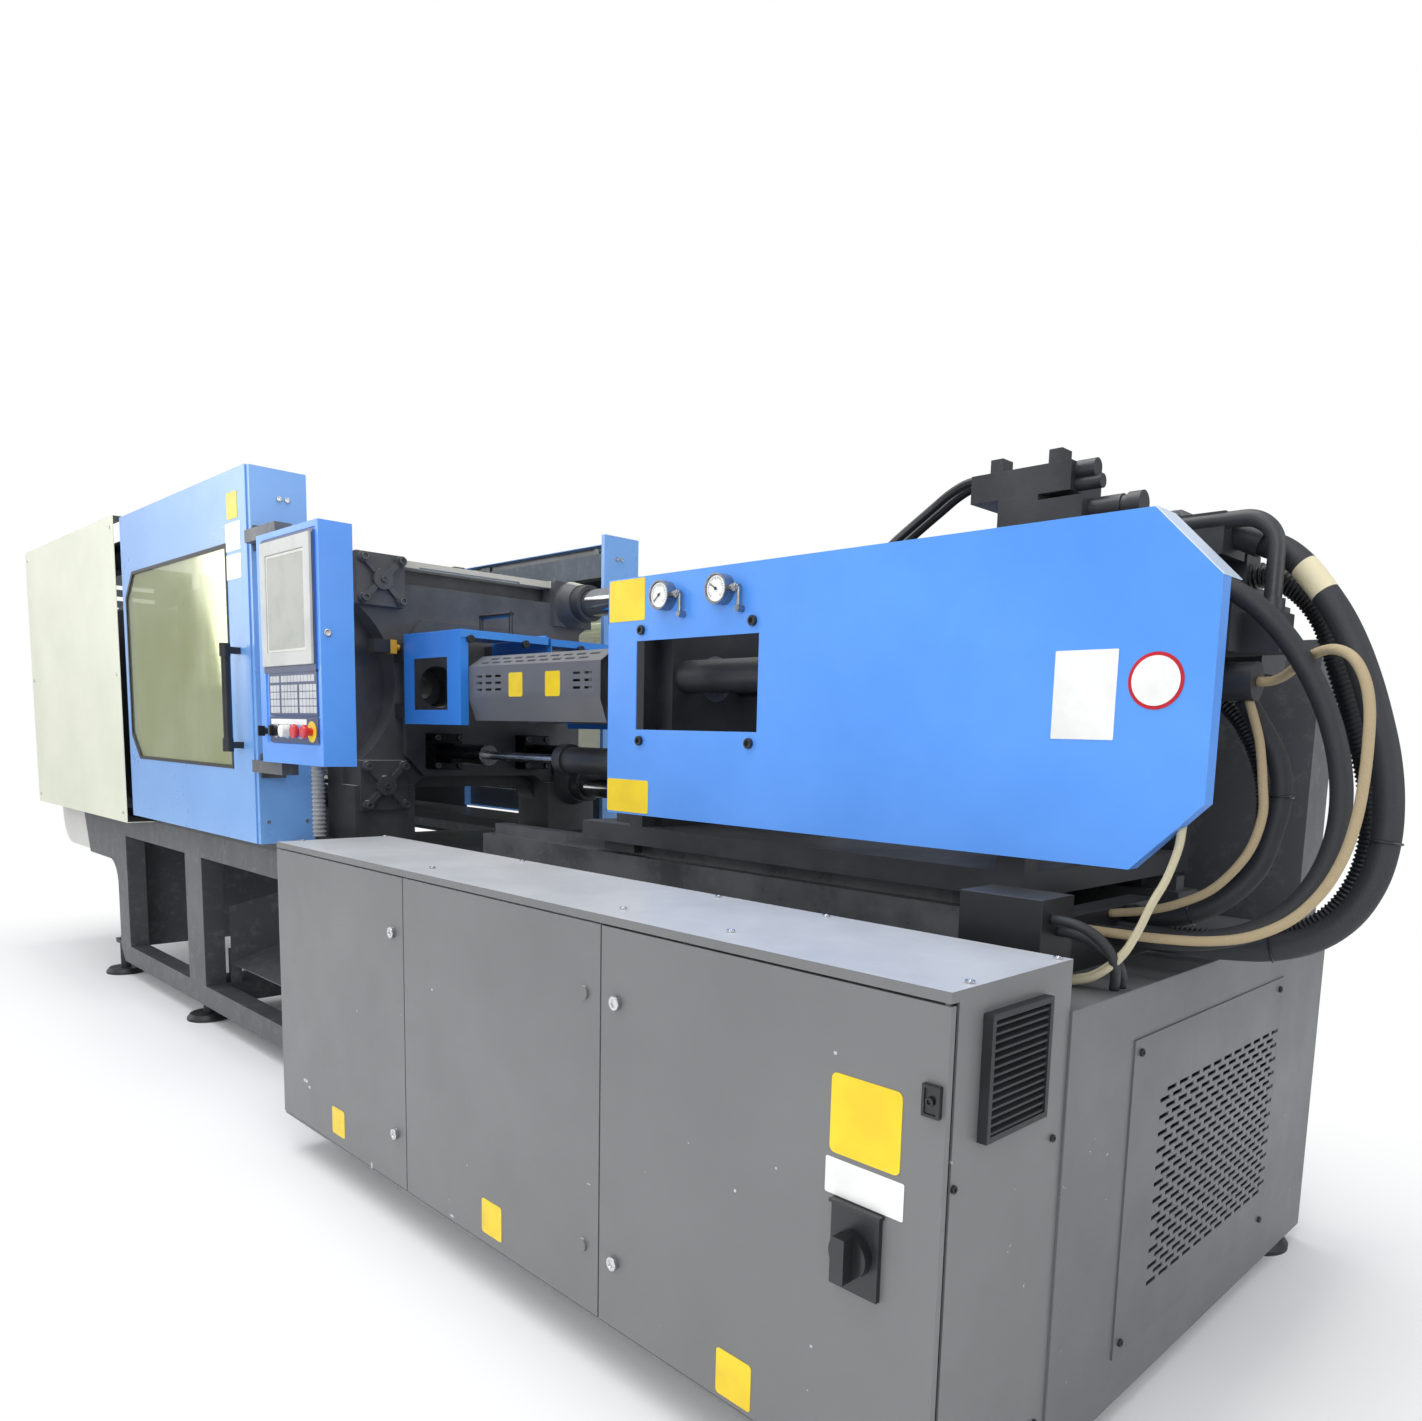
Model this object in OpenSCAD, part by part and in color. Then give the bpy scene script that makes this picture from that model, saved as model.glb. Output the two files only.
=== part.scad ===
// Two-barrel toggle injection moulding machine, millimetres.
// X runs from the clamp end to the injection end, Y away from the operator, Z up.
// Inside the modules x = 0 is the middle of the fixed platen and y = 0 the machine centre line.

/* [Base] */
// Height of the slideways that carry the platens
bed_top = 826; // [820:1:832]
// Underside of the clamp frame above the floor
bed_under = 73; // [60:1:100]
// Half width of the clamp frame
bed_half_w = 716; // [700:1:740]
// Thickness of each side frame of the clamp bed
side_frame_t = 80; // [50:1:110]
// Lower left end of the clamp frame
bed_foot_x = -2038; // [-2060:1:-2000]
// Radius of the gusset under the overhanging end
gusset_r = 115; // [60:1:140]
// Joint between the clamp bed and the injection bed
bed_joint_x = 601; // [590:1:610]
// Right end of the injection bed
hood_end = 2869; // [2850:1:2900]
// Height of the injection bed
hood_top = 818; // [800:1:820]
// Underside of the injection bed
hood_under = 40; // [36:1:60]
// Front wall of the injection bed
hood_front_y = -657; // [-665:1:-650]
// Rear wall of the injection bed
hood_rear_y = 645; // [640:1:660]
// Wall of the injection bed
hood_wall = 10; // [6:1:16]
// Diameter of a levelling pad
pad_d = 170; // [140:1:200]
// Thickness of a levelling pad
pad_t = 26; // [20:1:32]

/* [Electrical cabinet] */
// Left end of the cabinet
cab_left = 625; // [615:1:640]
// Right end of the cabinet
cab_right = 2864; // [2850:1:2868]
// Face of the cabinet doors
cab_front_y = -991; // [-1020:1:-970]
// Height of the cabinet
cab_top = 900; // [890:1:910]
// Lower edge of the cabinet
cab_bottom = 109; // [100:1:120]
// Depth of the step that a cabinet door closes into
cab_door_t = 20; // [18:1:26]
// Gap round a cabinet door
cab_gap = 4; // [3.5:0.5:5]

/* [Clamp unit] */
// Tie bar spacing across the machine
tie_pitch_y = 820; // [800:2:840]
// Tie bar spacing upwards
tie_pitch_z = 710; // [690:2:720]
// Tie bar diameter
tie_bar_d = 105; // [90:1:115]
// Height of the nozzle axis
axis_z = 1378; // [1370:1:1385]
// Width of every platen
platen_w = 1030; // [1010:2:1050]
// Top of every platen
platen_top = 1818; // [1810:1:1830]
// Thickness of the fixed platen with its ribs
fixed_platen_t = 250; // [230:2:270]
// Thickness of the moving platen
moving_platen_t = 230; // [200:2:250]
// Thickness of the tail platen
tail_platen_t = 200; // [180:2:240]
// Opening stroke of the moving platen
clamp_stroke = 540; // [300:10:540]
// Greatest mould height
mould_height = 770; // [740:5:780]
// Half distance between the toggle pivots
toggle_half_h = 366; // [362:1:368]
// Length of a rear toggle link
rear_link = 300; // [298:1:302]
// Length of a front toggle link
front_link = 560; // [555:1:565]
// Diameter of the toggle pins
toggle_pin_d = 80; // [70:1:90]
// Diameter of the clamp piston
piston_d = 160; // [130:1:180]

/* [Guards] */
// Outer face of the clamp covers from the centre line
cover_half_w = 822; // [818:1:840]
// Left end of the clamp covers
cover_left = -3011; // [-3018:1:-3000]
// Right end of the clamp covers
cover_right = -1439; // [-1460:1:-1430]
// Lower edge of the clamp covers
cover_low = 788; // [780:1:800]
// Top of the clamp covers
cover_high = 2075; // [2060:1:2100]
// Thickness of the guard sheets
sheet = 3; // [2:0.5:4]
// Outer face of a safety door from the centre line
door_half_w = 811; // [808:1:813]
// Left edge of a closed safety door
door_left = -1385; // [-1400:1:-1370]
// Right edge of a closed safety door
door_right = -11; // [-16:1:-6]
// Depth of the folded door edges
door_t = 36; // [28:1:40]
// Top of a safety door
door_high = 2057; // [2045:1:2065]
// Corner cut of the door window
window_cut = 97; // [40:1:150]
// Face of the door posts on the injection side
post_x = 13; // [8:1:20]
// Top of the door posts
post_high = 2053; // [2040:1:2060]

/* [Operator panel] */
// Width of the operator panel
panel_w = 450; // [420:2:480]
// Height of the operator panel
panel_h = 694; // [660:2:720]
// Depth of the operator panel
panel_t = 100; // [80:1:110]
// Left edge of the operator panel
panel_left = 171; // [160:1:190]
// Front face of the operator panel
panel_front_y = -850; // [-870:1:-840]
// Lower edge of the operator panel
panel_low = 1109; // [1100:1:1130]

/* [Injection unit] */
// Distance between the two barrels
unit_pitch = 380; // [370:2:400]
// Outer diameter of a barrel
barrel_d = 120; // [100:1:124]
// Bore of a barrel
screw_d = 45; // [35:1:55]
// Left end of the barrel heat shields
shield_left = 523; // [515:1:540]
// Right end of the barrel heat shields
shield_right = 1224; // [1200:1:1240]
// Half width of a heat shield
shield_half_w = 130; // [110:1:140]
// Height of the carriage base above the guide rails
rail_top = 930; // [925:1:935]
// Distance between the guide rails
rail_pitch = 600; // [560:10:640]
// Injection stroke of the screws
shot_stroke = 150; // [100:5:160]
// Outer face of the injection covers from the centre line
side_cover_half_w = 480; // [470:1:500]
// Left end of the injection covers
side_cover_left = 1466; // [1450:1:1500]
// Right end of the injection covers
side_cover_right = 2976; // [2950:1:3000]
// Lower edge of the injection covers
side_cover_low = 1026; // [1010:1:1040]
// Upper edge of the injection covers
side_cover_high = 1607; // [1590:1:1630]

/* [Hidden] */
$fn = 48;

frame_grey = "#5b5c60";
casting_grey = "#4f5052";
cabinet_grey = "#66676a";
sheet_blue = "#6aa3e6";
cream = "#e4e8cf";
steel = "#a9abad";
dark = "#2c2d30";
glass_green = "#c9d8a8";
running_gap = 0.05;
seat_gap = 0.3;

// Outer box of the machine without its hoses, used to centre it on the floor
switch_reach = 46;
skirt_reach = 9;
x_low = cover_left - skirt_reach;
x_mid = (x_low + side_cover_right) / 2;
y_mid = (cab_front_y - switch_reach + cover_half_w) / 2;
module in_place() translate([-x_mid, -y_mid, 0]) children();

// A block given by its two ends on each axis
module span(x, y, z) translate([x[0], y[0], z[0]]) cube([x[1] - x[0], y[1] - y[0], z[1] - z[0]]);
module rod_x(d, x, y, z) translate([x[0], y, z]) rotate([0, 90, 0]) cylinder(d = d, h = x[1] - x[0]);
module rod_y(d, x, y, z) translate([x, y[1], z]) rotate([90, 0, 0]) cylinder(d = d, h = y[1] - y[0]);
module rod_z(d, x, y, z) translate([x, y, z[0]]) cylinder(d = d, h = z[1] - z[0]);
// A plate whose outline lies in X and Z, between two places on Y
module side_plate(y) translate([0, y[1], 0]) rotate([90, 0, 0]) linear_extrude(y[1] - y[0]) children();
// A plate whose outline lies in Y and Z, between two places on X
module end_plate(x) translate([x[0], 0, 0]) rotate([90, 0, 90]) linear_extrude(x[1] - x[0]) children();
module both_sides() {
    children();
    mirror([0, 1, 0]) children();
}
function arc(cx, cy, r, a0, a1, n = 8) =
    [for (i = [0:n]) let (a = a0 + (a1 - a0) * i / n) [cx + r * cos(a), cy + r * sin(a)]];

// Clamp bed
gusset_low = 556;
overhang_x = -2583;
window_low = 158;
window_high = 688;
frame_windows = [[-1886, -1060], [-865, -60], [80, 520]];
way_w = 216;
module bed_side_outline() difference() {
    polygon(concat([[overhang_x, bed_top], [bed_joint_x, bed_top], [bed_joint_x, bed_under],
        [bed_foot_x + 53, bed_under], [bed_foot_x, bed_under + 60]],
        arc(bed_foot_x - gusset_r, gusset_low - gusset_r, gusset_r, 0, 90),
        [[-2505, gusset_low], [overhang_x, 741]]));
    for (w = frame_windows) translate([w[0], window_low]) square([w[1] - w[0], window_high - window_low]);
}
module clamp_bed() in_place() color(frame_grey) {
    inner = bed_half_w - side_frame_t;
    deck_low = bed_top - 40;
    union() {
        both_sides() side_plate([-bed_half_w, -inner]) bed_side_outline();
        both_sides() span([-1500, -150], [-inner, -inner + way_w], [bed_top - 80, bed_top]);
        span([overhang_x, -1500], [-inner, inner], [deck_low, bed_top]);
        span([-150, bed_joint_x], [-inner, inner], [deck_low, bed_top]);
        span([bed_foot_x, bed_foot_x + 40], [-inner, inner], [bed_under + 60, deck_low]);
        for (x = [[-1060, -865], [-60, 80], [520, bed_joint_x]])
            span(x, [-inner, inner], [bed_under, window_low]);
    }
}

skirt_r = 175;
skirt_low = 572;
module skirt_outline(t) polygon(concat([[x_low + t, bed_top - 38], [x_low + t, skirt_low + skirt_r]],
    arc(x_low + skirt_r, skirt_low + skirt_r, skirt_r - t, 180, 270),
    [[-2512 - t * 0.4, skirt_low + t], [overhang_x - t * 0.4, 741], [overhang_x - t * 0.4, bed_top - 38]]));
module bed_end_skirt() in_place() color(cream) difference() {
    side_plate([-bed_half_w, bed_half_w]) skirt_outline(0);
    side_plate([-bed_half_w + sheet, bed_half_w - sheet]) union() {
        skirt_outline(sheet);
        translate([overhang_x - 420, skirt_low + 230]) square([430, 400]);
        translate([overhang_x - 4, skirt_low + sheet]) square([90, 400]);
    }
}

foot_places = concat([for (x = [-960, 560], s = [-1, 1]) [x, s * 676, bed_under]],
    [for (x = [1500, 2790], s = [-1, 1]) [x, s * 545, hood_under]]);
end_foot = [bed_foot_x - 40, 690];
module levelling_pad(x, y, seat) translate([x, y, 0]) {
    rotate_extrude() polygon([[0, 0], [pad_d / 2, 0], [pad_d / 2, 10], [pad_d / 2 - 12, pad_t], [22, pad_t],
        [22, seat], [0, seat]]);
}
module levelling_feet() in_place() color(dark) {
    for (p = foot_places) levelling_pad(p[0], p[1], p[2]);
    for (s = [-1, 1]) {
        levelling_pad(end_foot[0], s * end_foot[1], bed_under + 72);
        span([bed_foot_x - 90, bed_foot_x], [s * end_foot[1] - 26, s * end_foot[1] + 26],
            [bed_under + 72, bed_under + 92]);
        side_plate([s * end_foot[1] - 8, s * end_foot[1] + 8]) polygon([[bed_foot_x - 84, bed_under + 92],
            [bed_foot_x, bed_under + 92], [bed_foot_x, bed_under + 180]]);
    }
}

// Injection bed
grille_y = [-422, 343];
grille_z = [133, 725];
bulkhead_x = 2740;
module injection_bed() in_place() color(cabinet_grey) {
    difference() {
        span([bed_joint_x, hood_end], [hood_front_y, hood_rear_y], [hood_under, hood_top]);
        span([bed_joint_x + hood_wall, hood_end - hood_wall],
            [hood_front_y + hood_wall, hood_rear_y - hood_wall], [hood_under - 1, hood_top - hood_wall]);
        span([hood_end - 20, hood_end + 1], [grille_y[0] + 20, grille_y[1] - 20],
            [grille_z[0] + 20, grille_z[1] - 20]);
    }
    // Bottom sheet with the drain opening of the tank
    difference() {
        span([bed_joint_x + hood_wall, hood_end - hood_wall],
            [hood_front_y + hood_wall, hood_rear_y - hood_wall], [hood_under, hood_under + 8]);
        rod_z(60, 1200, 0, [hood_under - 1, hood_under + 9]);
    }
    // Junction box and hose bulkhead on the deck
    span([2604, 2765], [-580, -470], [hood_top, 971]);
    span([bulkhead_x - 60, bulkhead_x], [-440, -60], [hood_top, 925]);
}

slot_rows = 24;
slot_cols = 11;
slot_field_y = [-297, 318];
slot_field_z = [228, 616];
slot_size = [41, 8];
module grille_outline() difference() {
    translate([grille_y[0], grille_z[0]]) square([grille_y[1] - grille_y[0], grille_z[1] - grille_z[0]]);
    pitch_y = (slot_field_y[1] - slot_field_y[0]) / slot_cols;
    pitch_z = (slot_field_z[1] - slot_field_z[0]) / slot_rows;
    for (r = [0:slot_rows - 1], c = [0:slot_cols - 1])
        translate([slot_field_y[0] + (c + (r % 2) / 2) * pitch_y, slot_field_z[0] + r * pitch_z])
            square(slot_size);
    for (y = [grille_y[0] + 25, grille_y[1] - 25], z = [grille_z[0] + 25, grille_z[1] - 25])
        translate([y, z]) circle(d = 9, $fn = 24);
}
module grille_panel() in_place() color(cabinet_grey) end_plate([hood_end, hood_end + sheet]) grille_outline();

// Electrical cabinet
cab_door_back = cab_front_y + cab_door_t;
cab_wall = 4;
cab_lid_t = 16;
door_edges = [cab_left, 1358, 2111, cab_right];
// The doors turn on pins between the lid and the sill of the shell
pivot_d = 8;
hinge_inset = 10;
sill_t = 4;
leaf_back = cab_door_back - 8;
leaf_low = cab_bottom + sill_t + cab_gap;
leaf_high = cab_top - cab_lid_t - cab_gap;
pivot_y = cab_front_y + 7;
function leaf_left(i) = door_edges[i] + (i == 0 ? 0 : cab_gap / 2);
function leaf_right(i) = door_edges[i + 1] - (i == 2 ? 0 : cab_gap / 2);
function pivot_x(i, hinge_right) = hinge_right ? leaf_right(i) - hinge_inset : leaf_left(i) + hinge_inset;
module cabinet_shell() in_place() color(cabinet_grey) union() {
    difference() {
        span([cab_left, cab_right], [cab_door_back, hood_front_y], [cab_bottom, cab_top - cab_lid_t]);
        for (i = [0:2]) {
            lo = door_edges[i] + (i == 0 ? cab_wall : 18);
            hi = door_edges[i + 1] - (i == 2 ? cab_wall : 18);
            span([lo, hi], [cab_door_back - 1, hood_front_y - cab_wall],
                [cab_bottom + cab_wall, cab_top - cab_lid_t - cab_wall]);
        }
    }
    span([cab_left, cab_right], [cab_front_y, hood_front_y], [cab_top - cab_lid_t, cab_top]);
    span([cab_left, cab_right], [cab_front_y + 2, cab_door_back + 1], [cab_bottom, cab_bottom + sill_t]);
    for (i = [0:2]) {
        rod_z(pivot_d, pivot_x(i, i == 2), pivot_y, [cab_bottom + 1, leaf_low + 10]);
        rod_z(pivot_d, pivot_x(i, i == 2), pivot_y, [leaf_high - 10, cab_top - 1]);
    }
}
module cabinet_leaf(i, hinge_right) {
    x0 = leaf_left(i);
    x1 = leaf_right(i);
    difference() {
        span([x0, x1], [cab_front_y, leaf_back], [leaf_low, leaf_high]);
        difference() {
            span([x0 + sheet, x1 - sheet], [cab_front_y + sheet, leaf_back + 1],
                [leaf_low + sheet, leaf_high - sheet]);
            // Pads round the pivot pins
            for (z = [leaf_low, leaf_high - 14])
                rod_z(pivot_d + 8, pivot_x(i, hinge_right), pivot_y, [z, z + 14]);
        }
        rod_z(pivot_d + 2 * running_gap, pivot_x(i, hinge_right), pivot_y, [leaf_low - 1, leaf_low + 15]);
        rod_z(pivot_d + 2 * running_gap, pivot_x(i, hinge_right), pivot_y, [leaf_high - 15, leaf_high + 1]);
    }
    lock_x = hinge_right ? x0 + 47 : x1 - 47;
    for (z = [leaf_low + 130, leaf_high - 135]) rod_y(26, lock_x, [cab_front_y - 5, cab_front_y + 1], z);
}
switch_x = 2725;
switch_z = 487;
switch_plate_t = 9;
module cabinet_door_1() in_place() color(cabinet_grey) cabinet_leaf(0, false);
module cabinet_door_2() in_place() color(cabinet_grey) cabinet_leaf(1, false);
module cabinet_door_3() in_place() color(cabinet_grey) {
    cabinet_leaf(2, true);
    difference() {
        span([switch_x - 44, switch_x + 44], [cab_front_y - switch_plate_t, cab_front_y],
            [switch_z - 62, switch_z + 62]);
        rod_y(17, switch_x, [cab_front_y - switch_plate_t - 1, cab_front_y - 1], switch_z);
    }
}
module main_switch() in_place() color(dark) {
    back = cab_front_y - switch_plate_t - seat_gap;
    rod_y(17 - 2 * running_gap, switch_x, [back - 1, back + 5], switch_z);
    rod_y(68, switch_x, [back - 16, back], switch_z);
    span([switch_x - 11, switch_x + 11], [cab_front_y - switch_reach, back - 15], [switch_z - 34, switch_z + 34]);
}

vent_y = [-910, -740];
vent_z = [672, 858];
vent_blades = 14;
vent_depth = 16;
module vent_filter() in_place() color(dark) {
    rim = 9;
    pitch = (vent_z[1] - vent_z[0] - 2 * rim) / vent_blades;
    difference() {
        span([cab_right, cab_right + vent_depth], vent_y, vent_z);
        span([cab_right + 2, cab_right + vent_depth + 1], [vent_y[0] + rim, vent_y[1] - rim],
            [vent_z[0] + rim, vent_z[1] - rim]);
    }
    for (i = [0:vent_blades - 1])
        side_plate([vent_y[0] + rim - 1, vent_y[1] - rim + 1])
            translate([cab_right + 1, vent_z[0] + rim + i * pitch])
                polygon([[0, pitch * 0.55], [0, pitch * 0.9], [vent_depth - 3, pitch * 0.42],
                    [vent_depth - 3, pitch * 0.12]]);
}

module control_gear() in_place() color(steel) {
    back = hood_front_y - cab_wall;
    for (i = [0:2]) {
        lo = door_edges[i] + 60;
        hi = door_edges[i + 1] - 60;
        span([lo, hi], [back - 4, back], [190, 830]);
        for (z = [300, 520, 720]) {
            span([lo + 20, hi - 20], [back - 12, back - 4], [z, z + 35]);
            for (k = [0:5])
                span([lo + 30 + k * 96, lo + 100 + k * 96], [back - 92, back - 12], [z - 35, z + 70]);
        }
    }
}

motor_axis_z = 330;
module pump_motor() in_place() color(dark) {
    y = -60;
    floor_z = hood_under + 8;
    rod_x(300, [2120, 2620], y, motor_axis_z);
    rod_x(340, [2100, 2120], y, motor_axis_z);
    rod_x(180, [1900, 2100], y, motor_axis_z);
    rod_x(280, [2620, 2690], y, motor_axis_z);
    for (x = [2180, 2500]) span([x, x + 60], [y - 120, y + 120], [floor_z, motor_axis_z - 100]);
    span([2140, 2600], [y - 150, y + 150], [floor_z, floor_z + 30]);
}

module rear_cabinet() in_place() color(cabinet_grey) difference() {
    span([2250, 2840], [505, hood_rear_y], [hood_top, 1484]);
    span([2250 + sheet, 2840 - sheet], [505 + sheet, hood_rear_y - sheet], [hood_top - 1, 1484 - sheet]);
}

// Guards of the clamp unit
module clamp_cover_half() {
    out = cover_half_w;
    difference() {
        span([cover_left, cover_right], [-out, -20], [cover_low, cover_high]);
        span([cover_left + sheet, cover_right + 1], [-out + sheet, -19], [cover_low + sheet, cover_high - sheet]);
        span([cover_left + sheet, cover_right + 1], [-out + 62, -19], [cover_high - 2 * sheet, cover_high + 1]);
        span([cover_left - 1, cover_right + 1], [-bed_half_w, -19], [cover_low - 1, cover_low + sheet + 1]);
        for (z = [1700:60:1940]) span([cover_left - 1, cover_left + sheet + 1], [-620, -220], [z, z + 22]);
    }
}
module clamp_covers() in_place() color(cream) both_sides() clamp_cover_half();

beam_high = 1990;
beam_h = 100;
beam_y = [-730, -670];
upright_x = [-2640, -2580];
module door_rails() in_place() color(frame_grey) both_sides() {
    union() {
        difference() {
            span([upright_x[0], post_x - sheet], beam_y, [beam_high - beam_h, beam_high]);
            span([upright_x[1], post_x - sheet + 1], [beam_y[0] + 5, beam_y[1] - 5],
                [beam_high - beam_h + 5, beam_high - 5]);
        }
        span(upright_x, [-700, -670], [bed_top, beam_high - beam_h]);
        span([upright_x[0], post_x - sheet], [-762, beam_y[0]], [beam_high - 12, beam_high]);
    }
}
module post_half() {
    y0 = -806;
    y1 = -623;
    difference() {
        span([post_x - 21, post_x], [y0, y1], [bed_top, post_high]);
        span([post_x - 22, post_x - sheet], [y0 + sheet, y1 - sheet], [bed_top - 1, post_high - sheet]);
        for (y = [-714, -688]) rod_x(9, [post_x - 10, post_x + 1], y, 1960);
    }
    // Foot plate of the post on the bed
    span([post_x - 18, post_x - sheet], [-bed_half_w, y1 - sheet], [bed_top, bed_top + 12]);
}
module door_posts() in_place() color(sheet_blue) both_sides() post_half();

window_x = [-1335, -200];
window_z = [1078, 1820];
module door_window_outline(grow) polygon([[window_x[0] - grow, window_z[0] + window_cut], [window_x[0] - grow,
    window_z[1] - window_cut], [window_x[0] + window_cut, window_z[1] + grow], [window_x[1] + grow,
    window_z[1] + grow], [window_x[1] + grow, window_z[0] - grow], [window_x[0] + window_cut,
    window_z[0] - grow]]);
door_low = bed_top + seat_gap;
module door_leaf() {
    y0 = -door_half_w;
    difference() {
        span([door_left, door_right], [y0, y0 + door_t], [door_low, door_high]);
        span([door_left + sheet, door_right - sheet], [y0 + sheet, y0 + door_t + 1],
            [door_low + sheet, door_high - sheet]);
        side_plate([y0 - 1, y0 + sheet + 1]) door_window_outline(0);
    }
    // Hangers with rollers that run on the rail above
    for (x = [door_left + 180, door_right - 180]) {
        span([x - 40, x + 40], [y0 + sheet, y0 + sheet + 8], [beam_high - 60, beam_high + 60]);
        rod_y(40, x, [y0 + sheet + 8, beam_y[0] - 4], beam_high + 20 + seat_gap);
    }
}
module front_door() in_place() color(sheet_blue) door_leaf();
module window_pane() side_plate([-door_half_w + sheet, -door_half_w + sheet + 6]) door_window_outline(28);
module front_window() in_place() color(glass_green) window_pane();
handle_x = -108;
handle_reach = 60;
module handle_half() {
    out = -door_half_w - handle_reach;
    for (z = [1154, 1468]) {
        span([handle_x - 14, handle_x + 14], [out + 10, -door_half_w], [z - 11, z + 11]);
        rod_z(34, handle_x, out + 14, [z - 22, z + 22]);
    }
    rod_z(26, handle_x, out + 14, [1154, 1468]);
}
module front_handle() in_place() color(dark) handle_half();
module rear_door() in_place() color(sheet_blue) mirror([0, 1, 0]) {
    door_leaf();
    handle_half();
}
module rear_window() in_place() color(glass_green) mirror([0, 1, 0]) window_pane();

// Platens
tie_places = [for (y = [-1, 1], z = [-1, 1]) [y * tie_pitch_y / 2, axis_z + z * tie_pitch_z / 2]];
fixed_face = -fixed_platen_t / 2;
fixed_back = fixed_platen_t / 2;
slab_t = 110;
boss_w = 176;
corner_plate_t = 35;
tie_fit = 0.1;
module tie_holes(x, gap) for (p = tie_places) rod_x(tie_bar_d + 2 * gap, x, p[0], p[1]);
module arch_outline(w, top, r = 60) polygon(concat([[-w, bed_top - 1]], arc(-w + r, top - r, r, 180, 90),
    arc(w - r, top - r, r, 90, 0), [[w, bed_top - 1]]));
module platen_outline(low) {
    c = 30;
    polygon([[-platen_w / 2, low], [-platen_w / 2, platen_top - c], [-platen_w / 2 + c, platen_top],
        [platen_w / 2 - c, platen_top], [platen_w / 2, platen_top - c], [platen_w / 2, low]]);
}
bolt_pitch = 210;
module bolt_rows(x) for (y = [-1.5, -0.5, 0.5, 1.5], z = [-1.5, -0.5, 0.5, 1.5])
    rod_x(20, x, y * bolt_pitch, axis_z + z * 140);
locating_d = 125;
module fixed_platen() in_place() color(casting_grey) difference() {
    union() {
        end_plate([fixed_face, fixed_face + slab_t]) difference() {
            platen_outline(bed_top);
            arch_outline(290, 1008);
        }
        // Corner bosses that carry the tie bar ends
        for (p = tie_places) span([0, fixed_back - corner_plate_t],
            [p[0] - boss_w / 2, p[0] + boss_w / 2], [p[1] - boss_w / 2, p[1] + boss_w / 2]);
        // Round bosses under the far nuts
        for (p = [tie_places[2], tie_places[3]]) translate([far_boss[0], p[0], p[1]])
            rotate([0, 90, 0]) cylinder(d1 = 184, d2 = 150, h = far_boss[1] - far_boss[0]);
        // Feet on the bed
        for (s = [-1, 1]) span([fixed_face, fixed_back - corner_plate_t],
            [s > 0 ? 290 : -515, s > 0 ? 515 : -290], [bed_top, axis_z - tie_pitch_z / 2]);
        // Waisted web between the bosses
        end_plate([fixed_face + slab_t - 1, fixed_back - corner_plate_t - 20]) web_outline();
        // Raised hub round the nozzles
        end_plate([0, fixed_back - corner_plate_t]) hub_outline();
        span([fixed_face, fixed_back - 70], [-platen_w / 2 + 60, platen_w / 2 - 60], [platen_top - 24, platen_top]);
    }
    tie_holes([fixed_face - 1, far_boss[1] + 1], tie_fit);
    bolt_rows([fixed_face - 1, fixed_face + 45]);
    for (s = [-1, 1]) {
        y = s * unit_pitch / 2;
        rod_x(locating_d, [fixed_face - 1, fixed_face + 30], y, axis_z);
        rod_x(80, [fixed_face, 0], y, axis_z);
        rod_x(150, [-30, fixed_back + 1], y, axis_z);
    }
    // Pocket for the fittings under the top edge
    span([40, fixed_back + 1], [-240, 180], [platen_top - 78, platen_top - 18]);
}
module web_outline() difference() {
    translate([-boss_w / 2 - tie_pitch_y / 2, axis_z - tie_pitch_z / 2])
        square([tie_pitch_y + boss_w, tie_pitch_z]);
    for (s = [-1, 1]) {
        translate([s * (tie_pitch_y / 2 + boss_w / 2 + 180), axis_z]) circle(r = 330);
    }
    translate([0, axis_z - tie_pitch_z / 2 - 390]) circle(r = 480);
}
module hub_outline() {
    w = unit_pitch / 2 + 130;
    polygon([[-w, axis_z - 250], [-w, axis_z + 150], [-w + 70, axis_z + 235], [w - 70, axis_z + 235],
        [w, axis_z + 150], [w, axis_z - 250], [w - 70, axis_z - 325], [-w + 70, axis_z - 325]]);
}
module corner_plates() in_place() color(casting_grey) {
    face = fixed_back - corner_plate_t;
    half = boss_w / 2;
    for (p = [tie_places[0], tie_places[1]]) translate([0, p[0], p[1]]) union() {
        span([face, face + 14], [-half, half], [-half, half]);
        for (a = [45, 135]) rotate([a, 0, 0]) span([face, face + 30], [-half * 1.15, half * 1.15], [-9, 9]);
        rod_x(70, [face, fixed_back], 0, 0);
        for (y = [-1, 1], z = [-1, 1]) rod_x(34, [face, fixed_back], y * (half - 20), z * (half - 20));
    }
}
tail_face = fixed_face - mould_height - clamp_stroke - moving_platen_t - 775;
tail_back = tail_face - tail_platen_t;
rod_d = 80;
lug_r = 66;
// A lug of the upper toggle half: its root on the platen runs from low to high beside the pin
module lug(x_root, x_pin, low, high, layer) {
    z = axis_z + toggle_half_h;
    side_plate(layer) union() {
        translate([x_pin, z]) circle(r = lug_r);
        polygon([[x_root, z + low], [x_root, z + high], [x_pin, z + lug_r], [x_pin, z - lug_r]]);
    }
}
module upper_and_lower() {
    children();
    translate([0, 0, 2 * axis_z]) mirror([0, 0, 1]) children();
}
guide_rod_d = 36;
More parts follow.
